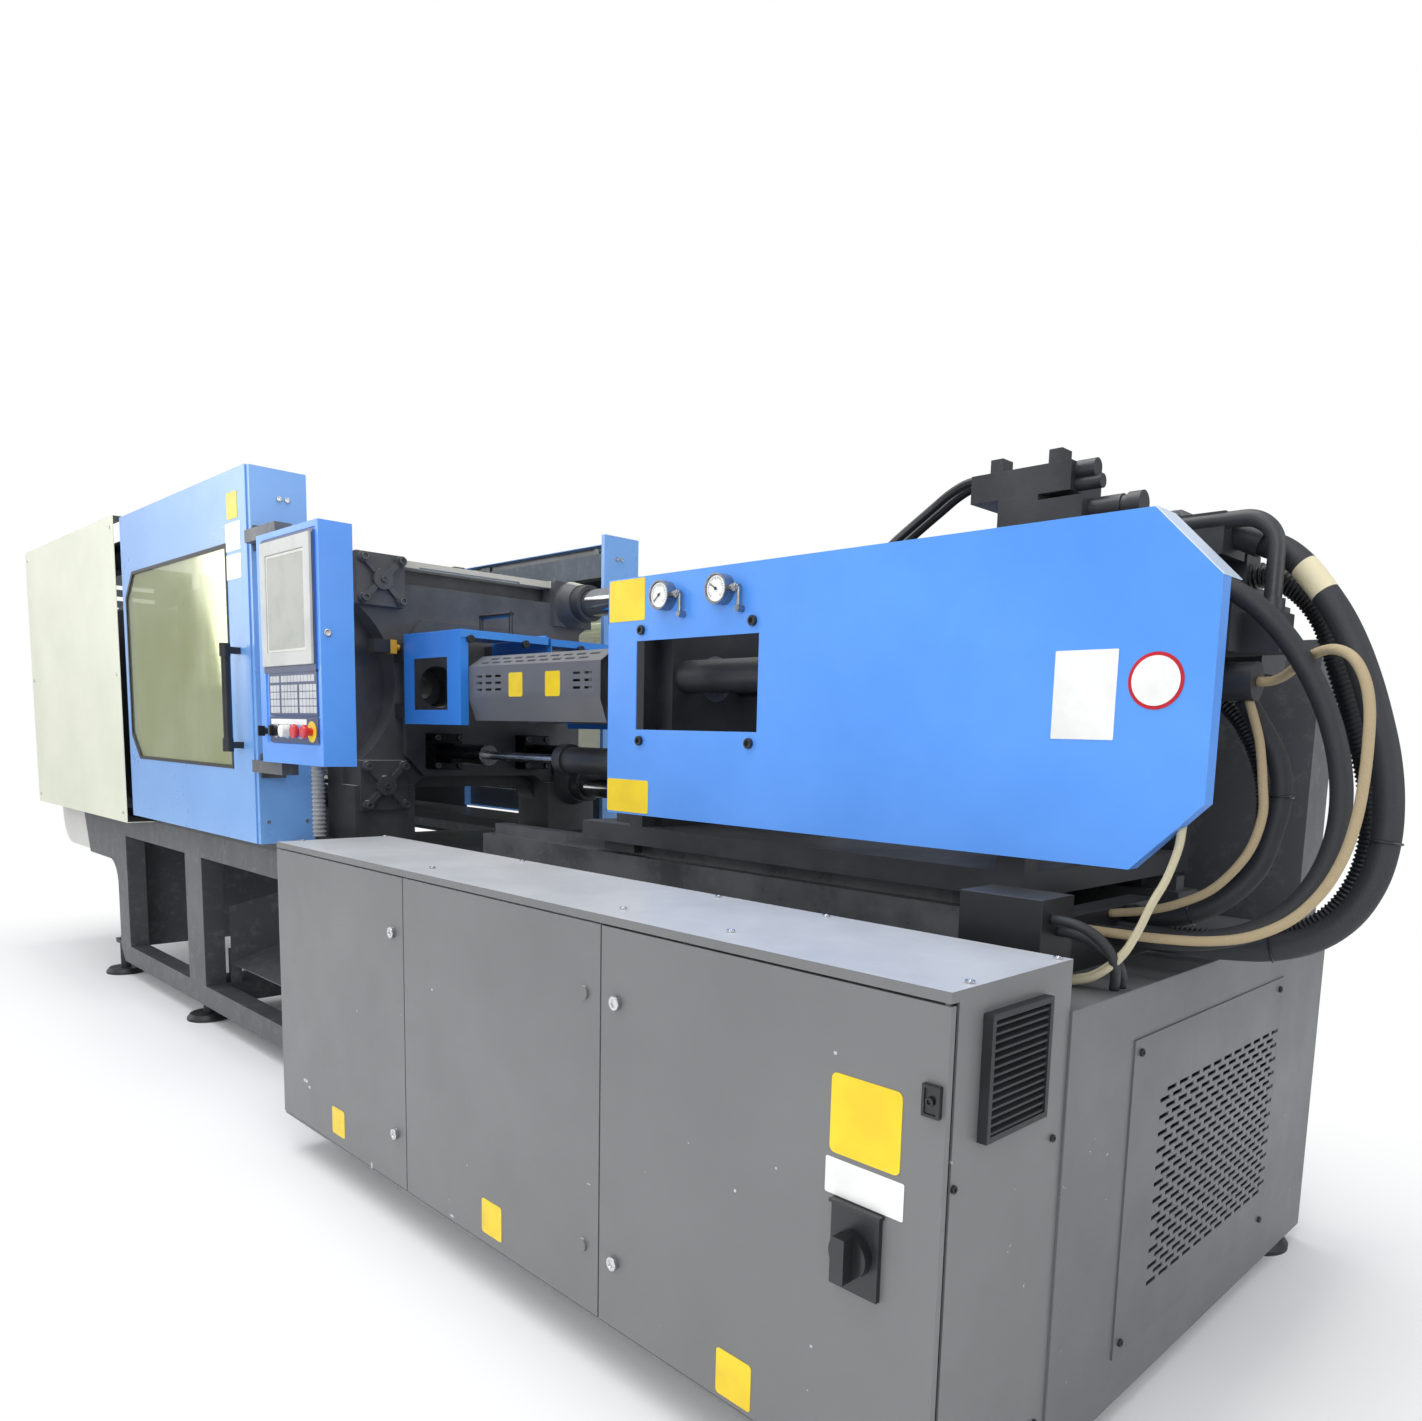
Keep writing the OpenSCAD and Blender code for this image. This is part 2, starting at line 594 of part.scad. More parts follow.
// Places of the lugs and links beside each other, measured from the centre line
outer_layers = [[140, 165], [295, 320]];
rear_layers = [[170, 200], [260, 290]];
front_layer = [205, 255];
short_layer = [102, 132];
tail_pin_x = tail_face + 270;
module tail_platen() in_place() color(casting_grey) difference() {
    union() {
        end_plate([tail_back, tail_face]) difference() {
            platen_outline(bed_top);
            arch_outline(260, 960);
        }
        both_sides() upper_and_lower() {
            for (l = outer_layers) lug(tail_face, tail_pin_x, 15, 72, l);
            rod_y(toggle_pin_d, tail_pin_x, [-outer_layers[1][1] - 8, 2 - outer_layers[0][0]],
                axis_z + toggle_half_h);
        }
        for (y = [-60, 60]) rod_x(guide_rod_d, [tail_face - 5, tail_face + 640], y, axis_z);
    }
    tie_holes([tail_back - 1, tail_face + 1], tie_fit);
    rod_x(piston_d + 2 * running_gap, [tail_back - 1, tail_face - 30], 0, axis_z);
    rod_x(rod_d + 2 * running_gap, [tail_face - 31, tail_face + 1], 0, axis_z);
}
platen_low = bed_top + seat_gap;
moving_face = fixed_face - mould_height - clamp_stroke;
moving_back = moving_face - moving_platen_t;
moving_pin_x = moving_back - 185;
ejector_hole_places = [for (y = [-90, 90], z = [-90, 90]) [y, axis_z + z]];
module moving_platen() in_place() color(casting_grey) difference() {
    union() {
        end_plate([moving_back, moving_face]) difference() {
            platen_outline(platen_low);
            arch_outline(260, 960);
        }
        both_sides() upper_and_lower() {
            for (l = rear_layers) lug(moving_back, moving_pin_x, -95, 72, l);
            rod_y(toggle_pin_d, moving_pin_x, [-rear_layers[1][1] - 8, 8 - rear_layers[0][0]],
                axis_z + toggle_half_h);
        }
    }
    tie_holes([moving_back - 1, moving_face + 1], running_gap);
    bolt_rows([moving_face - 45, moving_face + 1]);
    rod_x(locating_d, [moving_face - 30, moving_face + 1], 0, axis_z);
    rod_x(50, [moving_back - 1, moving_face], 0, axis_z);
    for (p = ejector_hole_places) rod_x(34, [moving_back - 1, moving_face + 1], p[0], p[1]);
}
module ejector() in_place() color(steel) {
    plate_back = moving_back - 122 - 26;
    difference() {
        span([plate_back, plate_back + 26], [-125, 125], [axis_z - 125, axis_z + 125]);
        for (y = [-60, 60]) rod_x(guide_rod_d + 8, [plate_back - 1, plate_back + 27], y, axis_z);
    }
    for (p = ejector_hole_places) rod_x(33.9, [plate_back + 25, moving_face - 2], p[0], p[1]);
}
tie_left = tail_back - 150;
far_boss = [fixed_back - corner_plate_t - 1, fixed_back + 35];
far_nut_w = 50;
far_tie_right = far_boss[1] + 265;
module tie_bars() in_place() color(steel) for (p = tie_places)
    rod_x(tie_bar_d, [tie_left, p[0] < 0 ? fixed_back - corner_plate_t : far_tie_right], p[0], p[1]);
module nut(x, p, d = 172) difference() {
    rod_x(d, x, p[0], p[1]);
    rod_x(tie_bar_d + 2 * tie_fit, [x[0] - 1, x[1] + 1], p[0], p[1]);
}
module tie_bar_nuts() in_place() color(casting_grey) {
    for (p = tie_places) nut([tail_back - 110, tail_back], p);
    for (p = [tie_places[2], tie_places[3]]) nut([far_boss[1], far_boss[1] + far_nut_w], p, 140);
}

// Toggle
open_angle = -129;
knuckle_r = 62;
short_link = 190;
third_r = 200;
third_angle = -35;
crosshead_open = tail_pin_x - 98;
short_pin_h = 146;
// Two round eyes joined by a narrower web
waist = 0.82;
module link_bar(r1, r2, len) {
    circle(r = r1);
    translate([len, 0]) circle(r = r2);
    polygon([[0, r1 * waist], [len, r2 * waist], [len, -r2 * waist], [0, -r1 * waist]]);
}
// The upper half, drawn about its tail pin; the lower half is its mirror image
module upper_rear_link_set() both_sides() {
    for (l = rear_layers) {
        translate([tail_pin_x, 0, axis_z + toggle_half_h]) rotate([0, -open_angle, 0]) {
            difference() {
                union() {
                    side_plate(l) link_bar(knuckle_r + 4, knuckle_r, rear_link);
                    if (l == rear_layers[0]) {
                        side_plate(l) rotate(third_angle) link_bar(52, 42, third_r);
                        translate([third_r * cos(third_angle), 0, third_r * sin(third_angle)])
                            rod_y(40, 0, [short_layer[1] + 8, l[0] + 1], 0);
                    }
                    rod_y(toggle_pin_d, rear_link, [l[0] - 4, l[1] + 4], 0);
                }
                rod_y(toggle_pin_d + 2 * running_gap, 0, [l[0] - 1, l[1] + 1], 0);
            }
        }
    }
}
knuckle_open = [tail_pin_x + rear_link * cos(open_angle), toggle_half_h + rear_link * sin(open_angle)];
front_angle = atan2(toggle_half_h - knuckle_open[1], moving_pin_x - knuckle_open[0]);
module upper_front_link_set() both_sides() translate([moving_pin_x, 0, axis_z + toggle_half_h])
    rotate([0, -(180 + front_angle), 0]) difference() {
        side_plate(front_layer) link_bar(knuckle_r + 4, knuckle_r, front_link);
        rod_y(toggle_pin_d + 2 * running_gap, 0, [front_layer[0] - 1, front_layer[1] + 1], 0);
        rod_y(toggle_pin_d + 4, front_link, [front_layer[0] - 1, front_layer[1] + 1], 0);
    }
third_open = [tail_pin_x + third_r * cos(open_angle + third_angle),
    toggle_half_h + third_r * sin(open_angle + third_angle)];
short_angle = atan2(third_open[1] - short_pin_h, third_open[0] - crosshead_open);
module upper_short_link_set() both_sides() translate([crosshead_open, 0, axis_z + short_pin_h])
    rotate([0, -short_angle, 0]) difference() {
        side_plate(short_layer) link_bar(36, 34, short_link);
        rod_y(40 + 2 * running_gap, 0, [short_layer[0] - 1, short_layer[1] + 1], 0);
        rod_y(44, short_link, [short_layer[0] - 1, short_layer[1] + 1], 0);
    }
module lower_half() translate([0, 0, 2 * axis_z]) mirror([0, 0, 1]) children();
module upper_rear_links() in_place() color(casting_grey) upper_rear_link_set();
module lower_rear_links() in_place() color(casting_grey) lower_half() upper_rear_link_set();
module upper_front_links() in_place() color(casting_grey) upper_front_link_set();
module lower_front_links() in_place() color(casting_grey) lower_half() upper_front_link_set();
module upper_short_links() in_place() color(casting_grey) upper_short_link_set();
module lower_short_links() in_place() color(casting_grey) lower_half() upper_short_link_set();
piston_t = 60;
cylinder_end = tail_back - 340;
module crosshead() in_place() color(steel) {
    x = crosshead_open;
    difference() {
        union() {
            span([x - 40, x + 40], [-95, 95], [axis_z - 72, axis_z + 72]);
            side_plate([-70, 70]) for (s = [-1, 1]) {
                translate([x, axis_z + s * short_pin_h]) circle(r = 36);
                translate([x - 36, axis_z + (s > 0 ? 60 : -short_pin_h)]) square([72, short_pin_h - 60]);
            }
            for (s = [-1, 1]) rod_y(40, x, [-short_layer[1] - 4, short_layer[1] + 4], axis_z + s * short_pin_h);
            rod_x(rod_d, [cylinder_end + 30, x - 39], 0, axis_z);
            rod_x(piston_d, [cylinder_end + 22, cylinder_end + 22 + piston_t], 0, axis_z);
        }
        for (y = [-60, 60]) rod_x(guide_rod_d + 2 * running_gap, [x - 41, x + 41], y, axis_z);
    }
}
module clamp_cylinder() in_place() color(casting_grey) difference() {
    union() {
        rod_x(215, [cylinder_end, tail_back], 0, axis_z);
        rod_x(290, [tail_back - 40, tail_back], 0, axis_z);
        rod_x(240, [cylinder_end, cylinder_end + 30], 0, axis_z);
    }
    rod_x(piston_d + 2 * running_gap, [cylinder_end + 20, tail_back + 1], 0, axis_z);
}

// Chute under the mould space
module parts_chute() in_place() color(frame_grey) {
    x = [-862, -63];
    inner = bed_half_w - side_frame_t;
    // Tray of bent sheet that falls towards the operator
    difference() {
        translate([x[0], 0, 0]) rotate([90, 0, 90]) linear_extrude(x[1] - x[0])
            polygon([[-inner + 20, 240], [-inner + 20, 480], [inner - 20, 730], [inner - 20, 600]]);
        translate([x[0] + sheet, 0, 0]) rotate([90, 0, 90]) linear_extrude(x[1] - x[0] - 2 * sheet)
            polygon([[-inner + 19, 244], [-inner + 19, 481], [inner - 24, 740], [inner - 24, 604]]);
    }
    // Legs that stand on the cross ties
    for (e = [[x[0] - 30, x[0] + sheet], [x[1] - sheet, x[1] + 30]], leg = [[-inner + 20, 300], [inner - 60, 620]])
        span(e, [leg[0], leg[0] + 40], [window_low, leg[1]]);
}

// Nozzle guard
guard_x = [fixed_back + 17, 523];
guard_half_w = 350;
guard_z = [1241, 1547];
guard_win_x = [210, 436];
guard_win_z = [1290, 1464];
lid_axis_y = -6;
lid_axis_z = guard_z[1] + 6;
module nozzle_guard() in_place() color(sheet_blue) {
    difference() {
        side_plate([-guard_half_w, -guard_half_w + sheet]) translate([guard_x[0], guard_z[0]])
            square([guard_x[1] - guard_x[0], guard_z[1] - guard_z[0]]);
        span(guard_win_x, [-guard_half_w - 1, -guard_half_w + sheet + 1], guard_win_z);
    }
    // Folded rims of the near wall
    span([guard_x[1] - sheet, guard_x[1]], [-guard_half_w, -guard_half_w + 28], guard_z);
    span([guard_x[0], guard_x[1]], [-guard_half_w, -guard_half_w + 20], [guard_z[0], guard_z[0] + sheet]);
    // Far wall, fixed half of the roof and the middle rib
    span(guard_x, [guard_half_w - sheet, guard_half_w], [guard_z[0], guard_z[1]]);
    span(guard_x, [2, guard_half_w], [guard_z[1] - sheet, guard_z[1]]);
    span([guard_x[0], guard_x[1]], [2, 2 + sheet], [guard_z[1] - 60, guard_z[1]]);
    span([guard_x[1] - sheet, guard_x[1]], [2, guard_half_w], [guard_z[1] - 24, guard_z[1]]);
    // Brackets to the platen
    for (y = [-guard_half_w, guard_half_w - 30], z = [guard_z[0] + 20, guard_z[1] - 90])
        span([fixed_back - corner_plate_t - 20, guard_x[0]], [y, y + 30], [z, z + 50]);
    span([fixed_back - corner_plate_t, guard_x[0]], [2, 32], [guard_z[1] - 60, guard_z[1] - 10]);
}
module guard_lid() in_place() color(sheet_blue) {
    top = guard_z[1] + seat_gap;
    span([guard_x[0], guard_x[1] + seat_gap + sheet], [-guard_half_w, lid_axis_y], [top, top + sheet]);
    rod_x(11.4, [guard_x[0] + 20, guard_x[1] - 20], lid_axis_y, top + 5.7);
    span([guard_x[1] + seat_gap, guard_x[1] + seat_gap + sheet], [-guard_half_w, lid_axis_y - 6],
        [top - 22, top + sheet]);
    // Bail handle
    hx = [304, 492];
    hy = -140;
    for (x = hx) rod_z(14, x, hy, [top + 1, top + 72]);
    rod_x(14, [hx[0] - 7, hx[1] + 7], hy, top + 72);
}
module limit_switch() in_place() color(dark) {
    x0 = fixed_back - corner_plate_t - 20;
    span([x0, x0 + 62], [-449, -370], [1483, 1530]);
    rod_y(20, x0 + 40, [-370, -352.5], 1506);
    rod_y(34, x0 + 40, [-386, -368], 1506);
}

// Injection unit
module guide_rails() in_place() color(steel) both_sides() {
    y = -rail_pitch / 2;
    span([bed_joint_x + 60, 2660], [y - 55, y + 55], [hood_top, rail_top - 32]);
    span([bed_joint_x + 80, 2640], [y - 22, y + 22], [rail_top - 32, rail_top]);
}
unit_y = [-unit_pitch / 2, unit_pitch / 2];
base_x = [1240, 2620];
base_t = 50;
base_low = rail_top + 5;
housing_x = [1330, 1520];
frame_top = 1560;
housing_high = 1530;
module carriage() in_place() color(casting_grey) {
    y_rail = rail_pitch / 2;
    difference() {
        union() {
            span(base_x, [-390, 390], [base_low, base_low + base_t]);
            span(housing_x, [-340, 340], [base_low, housing_high]);
            // Seat of the injection cylinders behind the housing
            span([housing_x[1] - 1, 1560], [-345, 345], [axis_z - 160, axis_z + 120]);
        }
        for (y = unit_y) {
            rod_x(barrel_d + 2 * tie_fit, [housing_x[0] - 1, 1561], y, axis_z);
            rod_z(70, 1430, y, [axis_z, housing_high + 1]);
        }
    }
    // Saddles that wrap the guide rails
    for (s = [-1, 1], x = [1290, 2440]) difference() {
        span([x, x + 130], [s * y_rail - 50, s * y_rail + 50], [rail_top - 24, base_low]);
        span([x - 1, x + 131], [s * y_rail - 22 - seat_gap, s * y_rail + 22 + seat_gap],
            [rail_top - 25, rail_top + seat_gap]);
    }
    // Posts and roof frame that carry the valves and the side covers
    for (s = [-1, 1]) {
        span([2560, 2620], [s * 365 - 25, s * 365 + 25], [base_low + base_t, frame_top]);
        span([1450, 1500], [s * 365 - 25, s * 365 + 25], [base_low + base_t, frame_top]);
        span([1450, 2760], [s * 365 - 25, s * 365 + 25], [frame_top, frame_top + 20]);
        // Brackets of the side covers
        for (x = [1480, s > 0 ? far_cover_right - 100 : 2580], z = [1150, 1500])
            span([x - 20, x + 20], [s > 0 ? 390 : -side_cover_half_w + sheet,
                s > 0 ? side_cover_half_w - sheet : -390], [z, z + 30]);
    }
    span([far_cover_right - 130, far_cover_right - 70], [352, 391], [base_low + base_t, frame_top]);
    span([2300, 2760], [-340, 340], [frame_top, frame_top + 20]);
    // Injection cylinders, two for each screw
    for (y = unit_y, s = [-1, 1]) difference() {
        rod_x(84, [1559, 2040], y + s * 106, axis_z);
        rod_x(push_rod_d + 2 * running_gap, [1700, 2041], y + s * 106, axis_z);
    }
    pull_in_cylinder_pair();
}
nozzle_tip = shield_left - 190;
module barrels() in_place() color(steel) for (y = unit_y) difference() {
    union() {
        rod_x(barrel_d, [shield_left - 30, 1560], y, axis_z);
        translate([nozzle_tip, y, axis_z]) rotate([0, 90, 0]) rotate_extrude() polygon([[0, 0], [14, 0],
            [22, 12], [28, 60], [28, 110], [45, 118], [45, 160], [0, 160]]);
    }
    rod_x(screw_d, [shield_left - 30, 1561], y, axis_z);
    rod_x(6, [nozzle_tip - 1, shield_left], y, axis_z);
    rod_z(40, 1430, y, [axis_z, axis_z + 70]);
}
shield_low = 1257;
shield_high = 1467;
shield_bend = 1323;
module shield_outline(t) {
    w = shield_half_w - t;
    top = shield_high - t;
    low = shield_low + (t > 0 ? -1 : 0);
    polygon([[-w + 24, low], [-w, shield_bend], [-w, top - 36], [-w + 50, top], [w - 50, top], [w, top - 36],
        [w, shield_bend], [w - 24, low]]);
}
module heat_shields() in_place() color(cabinet_grey) for (y = unit_y) translate([0, y, 0]) difference() {
    union() {
        difference() {
            end_plate([shield_left, shield_right]) shield_outline(0);
            end_plate([shield_left - 1, shield_right + 1]) shield_outline(2.5);
        }
        // Rings that hold the shield on the barrel
        for (x = [shield_left + 40, shield_right - 60]) difference() {
            end_plate([x, x + 12]) shield_outline(2.4);
            rod_x(barrel_d, [x - 1, x + 13], 0, axis_z);
            span([x - 1, x + 13], [-shield_half_w, shield_half_w], [shield_low - 2, axis_z - 70]);
        }
    }
    // Cooling slots of the front face and the roof
    for (s = [-1, 1], r = [0:2]) {
        for (c = [0:2]) span([shield_left + 45 + c * 55, shield_left + 80 + c * 55],
            [s * shield_half_w - 4, s * shield_half_w + 4], [1352 + r * 21, 1359 + r * 21]);
        for (c = [0:1]) span([shield_right - 130 + c * 55, shield_right - 95 + c * 55],
            [s * shield_half_w - 4, s * shield_half_w + 4], [1352 + r * 21, 1359 + r * 21]);
    }
    // Two rows on each slope of the roof, the second half a pitch on
    for (s = [-1, 1], r = [0, 1], c = [0:8]) {
        x = shield_left + 50 + (c + r / 2) * 66;
        y = s * (shield_half_w - 16 - r * 18);
        span([x, x + 46], [y - 4, y + 4], [shield_high - 40, shield_high + 1]);
    }
}
drive_x = 2100;
push_rod_d = 36;
module screw_drive() in_place() color(casting_grey) {
    difference() {
        union() {
            span([drive_x, drive_x + 80], [-345, 345], [axis_z - 130, axis_z + 110]);
            for (y = unit_y) {
                rod_x(170, [drive_x + 79, drive_x + 180], y, axis_z);
                rod_x(210, [drive_x + 180, drive_x + 390], y, axis_z);
                rod_x(150, [drive_x + 389, drive_x + 440], y, axis_z);
                span([drive_x + 220, drive_x + 360], [y - 60, y + 60], [axis_z + 80, 1510]);
            }
        }
        for (y = unit_y) rod_x(60 + 2 * running_gap, [drive_x - 1, drive_x + 120], y, axis_z);
    }
    for (y = unit_y, s = [-1, 1]) rod_x(push_rod_d, [1850, drive_x + 1], y + s * 106, axis_z);
}
// A screw with its shank in the drive bearing; the flight is a plain cylinder with root steps
module screw(y) {
    rod_x(screw_d - 2 * running_gap, [shield_left + 40, 1570], y, axis_z);
    translate([shield_left - 5, y, axis_z]) rotate([0, 90, 0]) cylinder(d1 = 8, d2 = 36, h = 45);
    rod_x(60, [1700, drive_x + 119], y, axis_z);
    rod_x(40, [1570, 1700], y, axis_z);
}
module near_screw() in_place() color(steel) screw(unit_y[0]);
module far_screw() in_place() color(steel) screw(unit_y[1]);

gauge_x = [1691, 1884];
gauge_z = 1553;
gauge_d = 68;
cover_win_x = [1578, 1996];
cover_win_z = [1238, 1453];
corner_cut = 115;
// The far cover ends over the drive, so that the hoses can be reached from behind
far_cover_right = 2250;
module side_cover_outline(right) difference() {
    polygon([[side_cover_left, side_cover_low], [side_cover_left, side_cover_high],
        [right - corner_cut, side_cover_high], [right, side_cover_high - corner_cut],
        [right, side_cover_low + corner_cut], [right - corner_cut, side_cover_low]]);
    translate([cover_win_x[0], cover_win_z[0]])
        square([cover_win_x[1] - cover_win_x[0], cover_win_z[1] - cover_win_z[0]]);
    for (x = gauge_x) translate([x, gauge_z]) circle(d = 50);
}
module side_cover(right) {
    y0 = -side_cover_half_w;
    lip = 34;
    cut_x = right - corner_cut;
    side_plate([y0, y0 + sheet]) side_cover_outline(right);
    // Folded edges
    for (z = [side_cover_low, side_cover_high - sheet])
        span([side_cover_left, cut_x], [y0, y0 + lip], [z, z + sheet]);
    span([right - sheet, right], [y0, y0 + lip], [side_cover_low + corner_cut, side_cover_high - corner_cut]);
    top = side_cover_high;
    low = side_cover_low + corner_cut;
    side_plate([y0, y0 + lip]) {
        polygon([[cut_x, top], [right, top - corner_cut], [right - sheet, top - corner_cut - 1],
            [cut_x - 1, top - sheet]]);
        polygon([[right, low], [cut_x, side_cover_low], [cut_x - 1, side_cover_low + sheet],
            [right - sheet, low + 1]]);
    }
}
module injection_covers() in_place() color(sheet_blue) {
    side_cover(side_cover_right);
    mirror([0, 1, 0]) side_cover(far_cover_right);
}
module pressure_gauges() in_place() color(steel) for (x = gauge_x) {
    y0 = -side_cover_half_w;
    translate([x, y0 - 30, gauge_z]) rotate([-90, 0, 0]) rotate_extrude() polygon([[0, 4], [gauge_d / 2 - 5, 4],
        [gauge_d / 2 - 3, 0], [gauge_d / 2, 0], [gauge_d / 2, 30], [24.9, 30], [24.9, 40], [0, 40]]);
    rod_y(14, x, [y0 + 9, y0 + 60], gauge_z);
    span([x - 16, x + 16], [y0 + 50, y0 + 90], [gauge_z - 20, gauge_z + 27]);
}

deck = frame_top + 20;
module valve_block() in_place() color(casting_grey) {
    // Column and long manifold of the near unit
    span([2462, 2548], [-296, -150], [deck, 1702]);
    span([2396, 2612], [-292, -168], [1702, 1756]);
    for (x = [2436, 2562]) span([x, x + 27], [-288, -250], [1756, 1782]);
    rod_x(34, [2611, 2650], -262, 1742);
    rod_x(26, [2611, 2662], -262, 1716);
    rod_x(44, [2590, 2700], -250, 1668);
    rod_x(38, [2700, 2712], -250, 1668);
    rod_x(46, [2712, 2738], -250, 1668);
    span([2548, 2640], [-296, -204], [deck, 1690]);
    span([2640, 2740], [-300, -200], [deck, 1643]);
    rod_x(50, [2660, 2730], -150, 1620);
    span([2650, 2700], [-190, -120], [deck, 1660]);
    // Lower block of the far unit
    span([2400, 2700], [150, 300], [deck, 1660]);
    // Rear valve group behind the side cover
    span([2700, 2760], [-300, 300], [1330, frame_top]);
    span([2760, 2900], [-230, -90], [1400, 1500]);
    span([2760, 2860], [60, 200], [1380, 1520]);
    rod_x(70, [2760, 2930], -160, 1350);
    rod_y(60, 2880, [-90, -10], 1455);
    // Rigid bend pipe at the top
    rod_x(bend_pipe_d, [2740, 2880], bend_pipe_y, 1640);
    translate([2880, bend_pipe_y, 1580]) rotate([90, 0, 0]) rotate_extrude(angle = 90) translate([60, 0])
        circle(d = bend_pipe_d);
    rod_z(bend_pipe_d, 2940, bend_pipe_y, [1470, 1580]);
    rod_x(bend_pipe_d + 12, [2740, 2762], bend_pipe_y, 1640);
    rod_z(bend_pipe_d + 12, 2940, bend_pipe_y, [1470, 1494]);
    span([2760, 2965], [-172, -105], [1400, 1470]);
    // Hose stubs: the thick hose leaves on a slant, as its route begins
    span([2660, 2850], [-160, -50], [deck, 1656]);
    translate(thick_route[0]) rotate([0, 90 + atan2(17, 35), 0]) translate([0, 0, -75]) cylinder(d = 54, h = 75 - seat_gap);
    span([2760, 2850], [-36, 36], [1522, 1600]);
    rod_x(44, [2760, 2790], -280, 1522);
}
bend_pipe_d = 30;
bend_pipe_y = -150;

cyl_z = 1140;
cyl_left = 872;
cyl_rod_d = 30;
cyl_d = 84;
module pull_in_rods() in_place() color(steel) for (y = unit_y) {
    span([fixed_back - corner_plate_t, fixed_back + 35], [y - 55, y + 55], [cyl_z - 60, cyl_z + 70]);
    rod_x(72, [fixed_back + 35, 430], y, cyl_z);
    rod_x(cyl_rod_d, [430, cyl_left + 45], y, cyl_z);
}
module pull_in_cylinder_pair() for (y = unit_y) difference() {
    union() {
        rod_x(cyl_d, [cyl_left, housing_x[0] + 1], y, cyl_z);
        rod_x(cyl_d + 16, [cyl_left, cyl_left + 40], y, cyl_z);
        rod_x(cyl_d + 16, [housing_x[0] - 45, housing_x[0] + 1], y, cyl_z);
    }
    rod_x(cyl_rod_d + 2 * running_gap, [cyl_left - 1, cyl_left + 30], y, cyl_z);
    rod_x(66, [cyl_left + 29, housing_x[0] - 10], y, cyl_z);
}

// Operator panel on its arm
arm_axis_x = 232;
arm_axis_y = -800;
arm_pin_d = 30;
module operator_arm() in_place() color(dark) {
    for (z = [panel_low + panel_h + seat_gap, panel_low - 40 - seat_gap]) {
        span([post_x, arm_axis_x + 26], [arm_axis_y - 26, arm_axis_y + 26], [z, z + 40]);
        span([post_x, post_x + 10], [-800, -720], [z - 20, z + 60]);
    }
    rod_z(arm_pin_d, arm_axis_x, arm_axis_y, [panel_low - 30, panel_low + 40]);
    rod_z(arm_pin_d, arm_axis_x, arm_axis_y, [panel_low + panel_h - 40, panel_low + panel_h + 30]);
}
panel_right = panel_left + panel_w;
panel_high = panel_low + panel_h;
knob_x = [293, 384, 479, 556];
knob_z = 1208;
module operator_panel() in_place() color(sheet_blue) {
    y0 = panel_front_y;
    y1 = panel_front_y + panel_t;
    difference() {
        span([panel_left, panel_right], [y0, y1], [panel_low, panel_high]);
        span([panel_left + 4, panel_right - 4], [y0 + 8, y1 - 4], [panel_low + 4, panel_high - 4]);
        span([panel_left + 44, panel_right - 20], [y0 - 1, y0 + 4], [1170, 1784]);
        for (z = [[panel_low - 1, panel_low + 41], [panel_high - 41, panel_high + 1]])
            rod_z(arm_pin_d + 2 * running_gap, arm_axis_x, arm_axis_y, z);
        rod_y(24, knob_x[0], [y0 - 1, y0 + 20], knob_z);
        rod_y(24, knob_x[3], [y0 - 1, y0 + 20], knob_z);
    }
    // Bearing tubes of the swivel pins
    for (z = [[panel_low + 3, panel_low + 44], [panel_high - 44, panel_high - 3]]) difference() {
        rod_z(46, arm_axis_x, arm_axis_y, z);
        rod_z(arm_pin_d + 2 * running_gap, arm_axis_x, arm_axis_y, [z[0] - 1, z[1] + 1]);
    }
    // Screen bezel, key field and button plate in the recess
    span([224, 593], [y0 - 4, y0 + 4], [1386, 1776]);
    span([252, 593], [y0 - 2, y0 + 4], [1258, 1379]);
    difference() {
        span([249, 595], [y0 - 2, y0 + 4], [1177, 1247]);
        for (x = [knob_x[0], knob_x[3]]) rod_y(24, x, [y0 - 3, y0 + 5], knob_z);
    }
    for (x = [knob_x[1], knob_x[2]]) rod_y(36, x, [y0 - 22, y0 - 2], knob_z);
}
stop_travel = 5;
module emergency_stop() in_place() color("#c8202a") {
    y0 = panel_front_y - 2;
    rod_y(24 - 2 * running_gap, knob_x[3], [y0 - 20, y0 + 12], knob_z);
    rod_y(40, knob_x[3], [y0 - 32, y0 - 18], knob_z);
}
module selector_knob() in_place() color(dark) {
    y0 = panel_front_y - 2;
    rod_y(24 - 2 * running_gap, knob_x[0], [y0 - seat_gap - 1, y0 + 12], knob_z);
    rod_y(34, knob_x[0], [y0 - 12, y0 - seat_gap], knob_z);
    span([knob_x[0] - 5, knob_x[0] + 5], [y0 - 24, y0 - 11], [knob_z - 16, knob_z + 16]);
}
conduit_d = 40;
module operator_conduit() in_place() color(steel)
    rod_z(conduit_d, 525, -826, [cab_top, panel_low - seat_gap]);

// Hoses between the injection unit and the bed
thick_route = [[2900, -96, 1602], [2935, -96, 1585], [2970, -99, 1555], [3005, -104, 1512], [3040, -110, 1462],
    [3070, -118, 1408], [3097, -128, 1348], [3120, -136, 1285], [3140, -144, 1218], [3152, -150, 1150],
    [3155, -156, 1080], [3145, -166, 1012], [3118, -180, 952], [3072, -196, 908], [3010, -212, 884],
    [2940, -226, 876], [2870, -236, 874], [2800, -240, 874], [2740, -240, 874]];
side_route = [[2790, -280, 1522], [2824, -280, 1522], [2865, -284, 1518], [2908, -284, 1502], [2950, -277, 1474],
    [2990, -268, 1434], [3025, -260, 1386], [3057, -254, 1330], [3082, -250, 1270], [3100, -250, 1206],
    [3108, -252, 1140], [3104, -258, 1075], [3086, -270, 1014], [3052, -286, 960], [3002, -304, 922],
    [2940, -320, 900], [2870, -330, 890], [2800, -336, 886], [2740, -336, 886]];
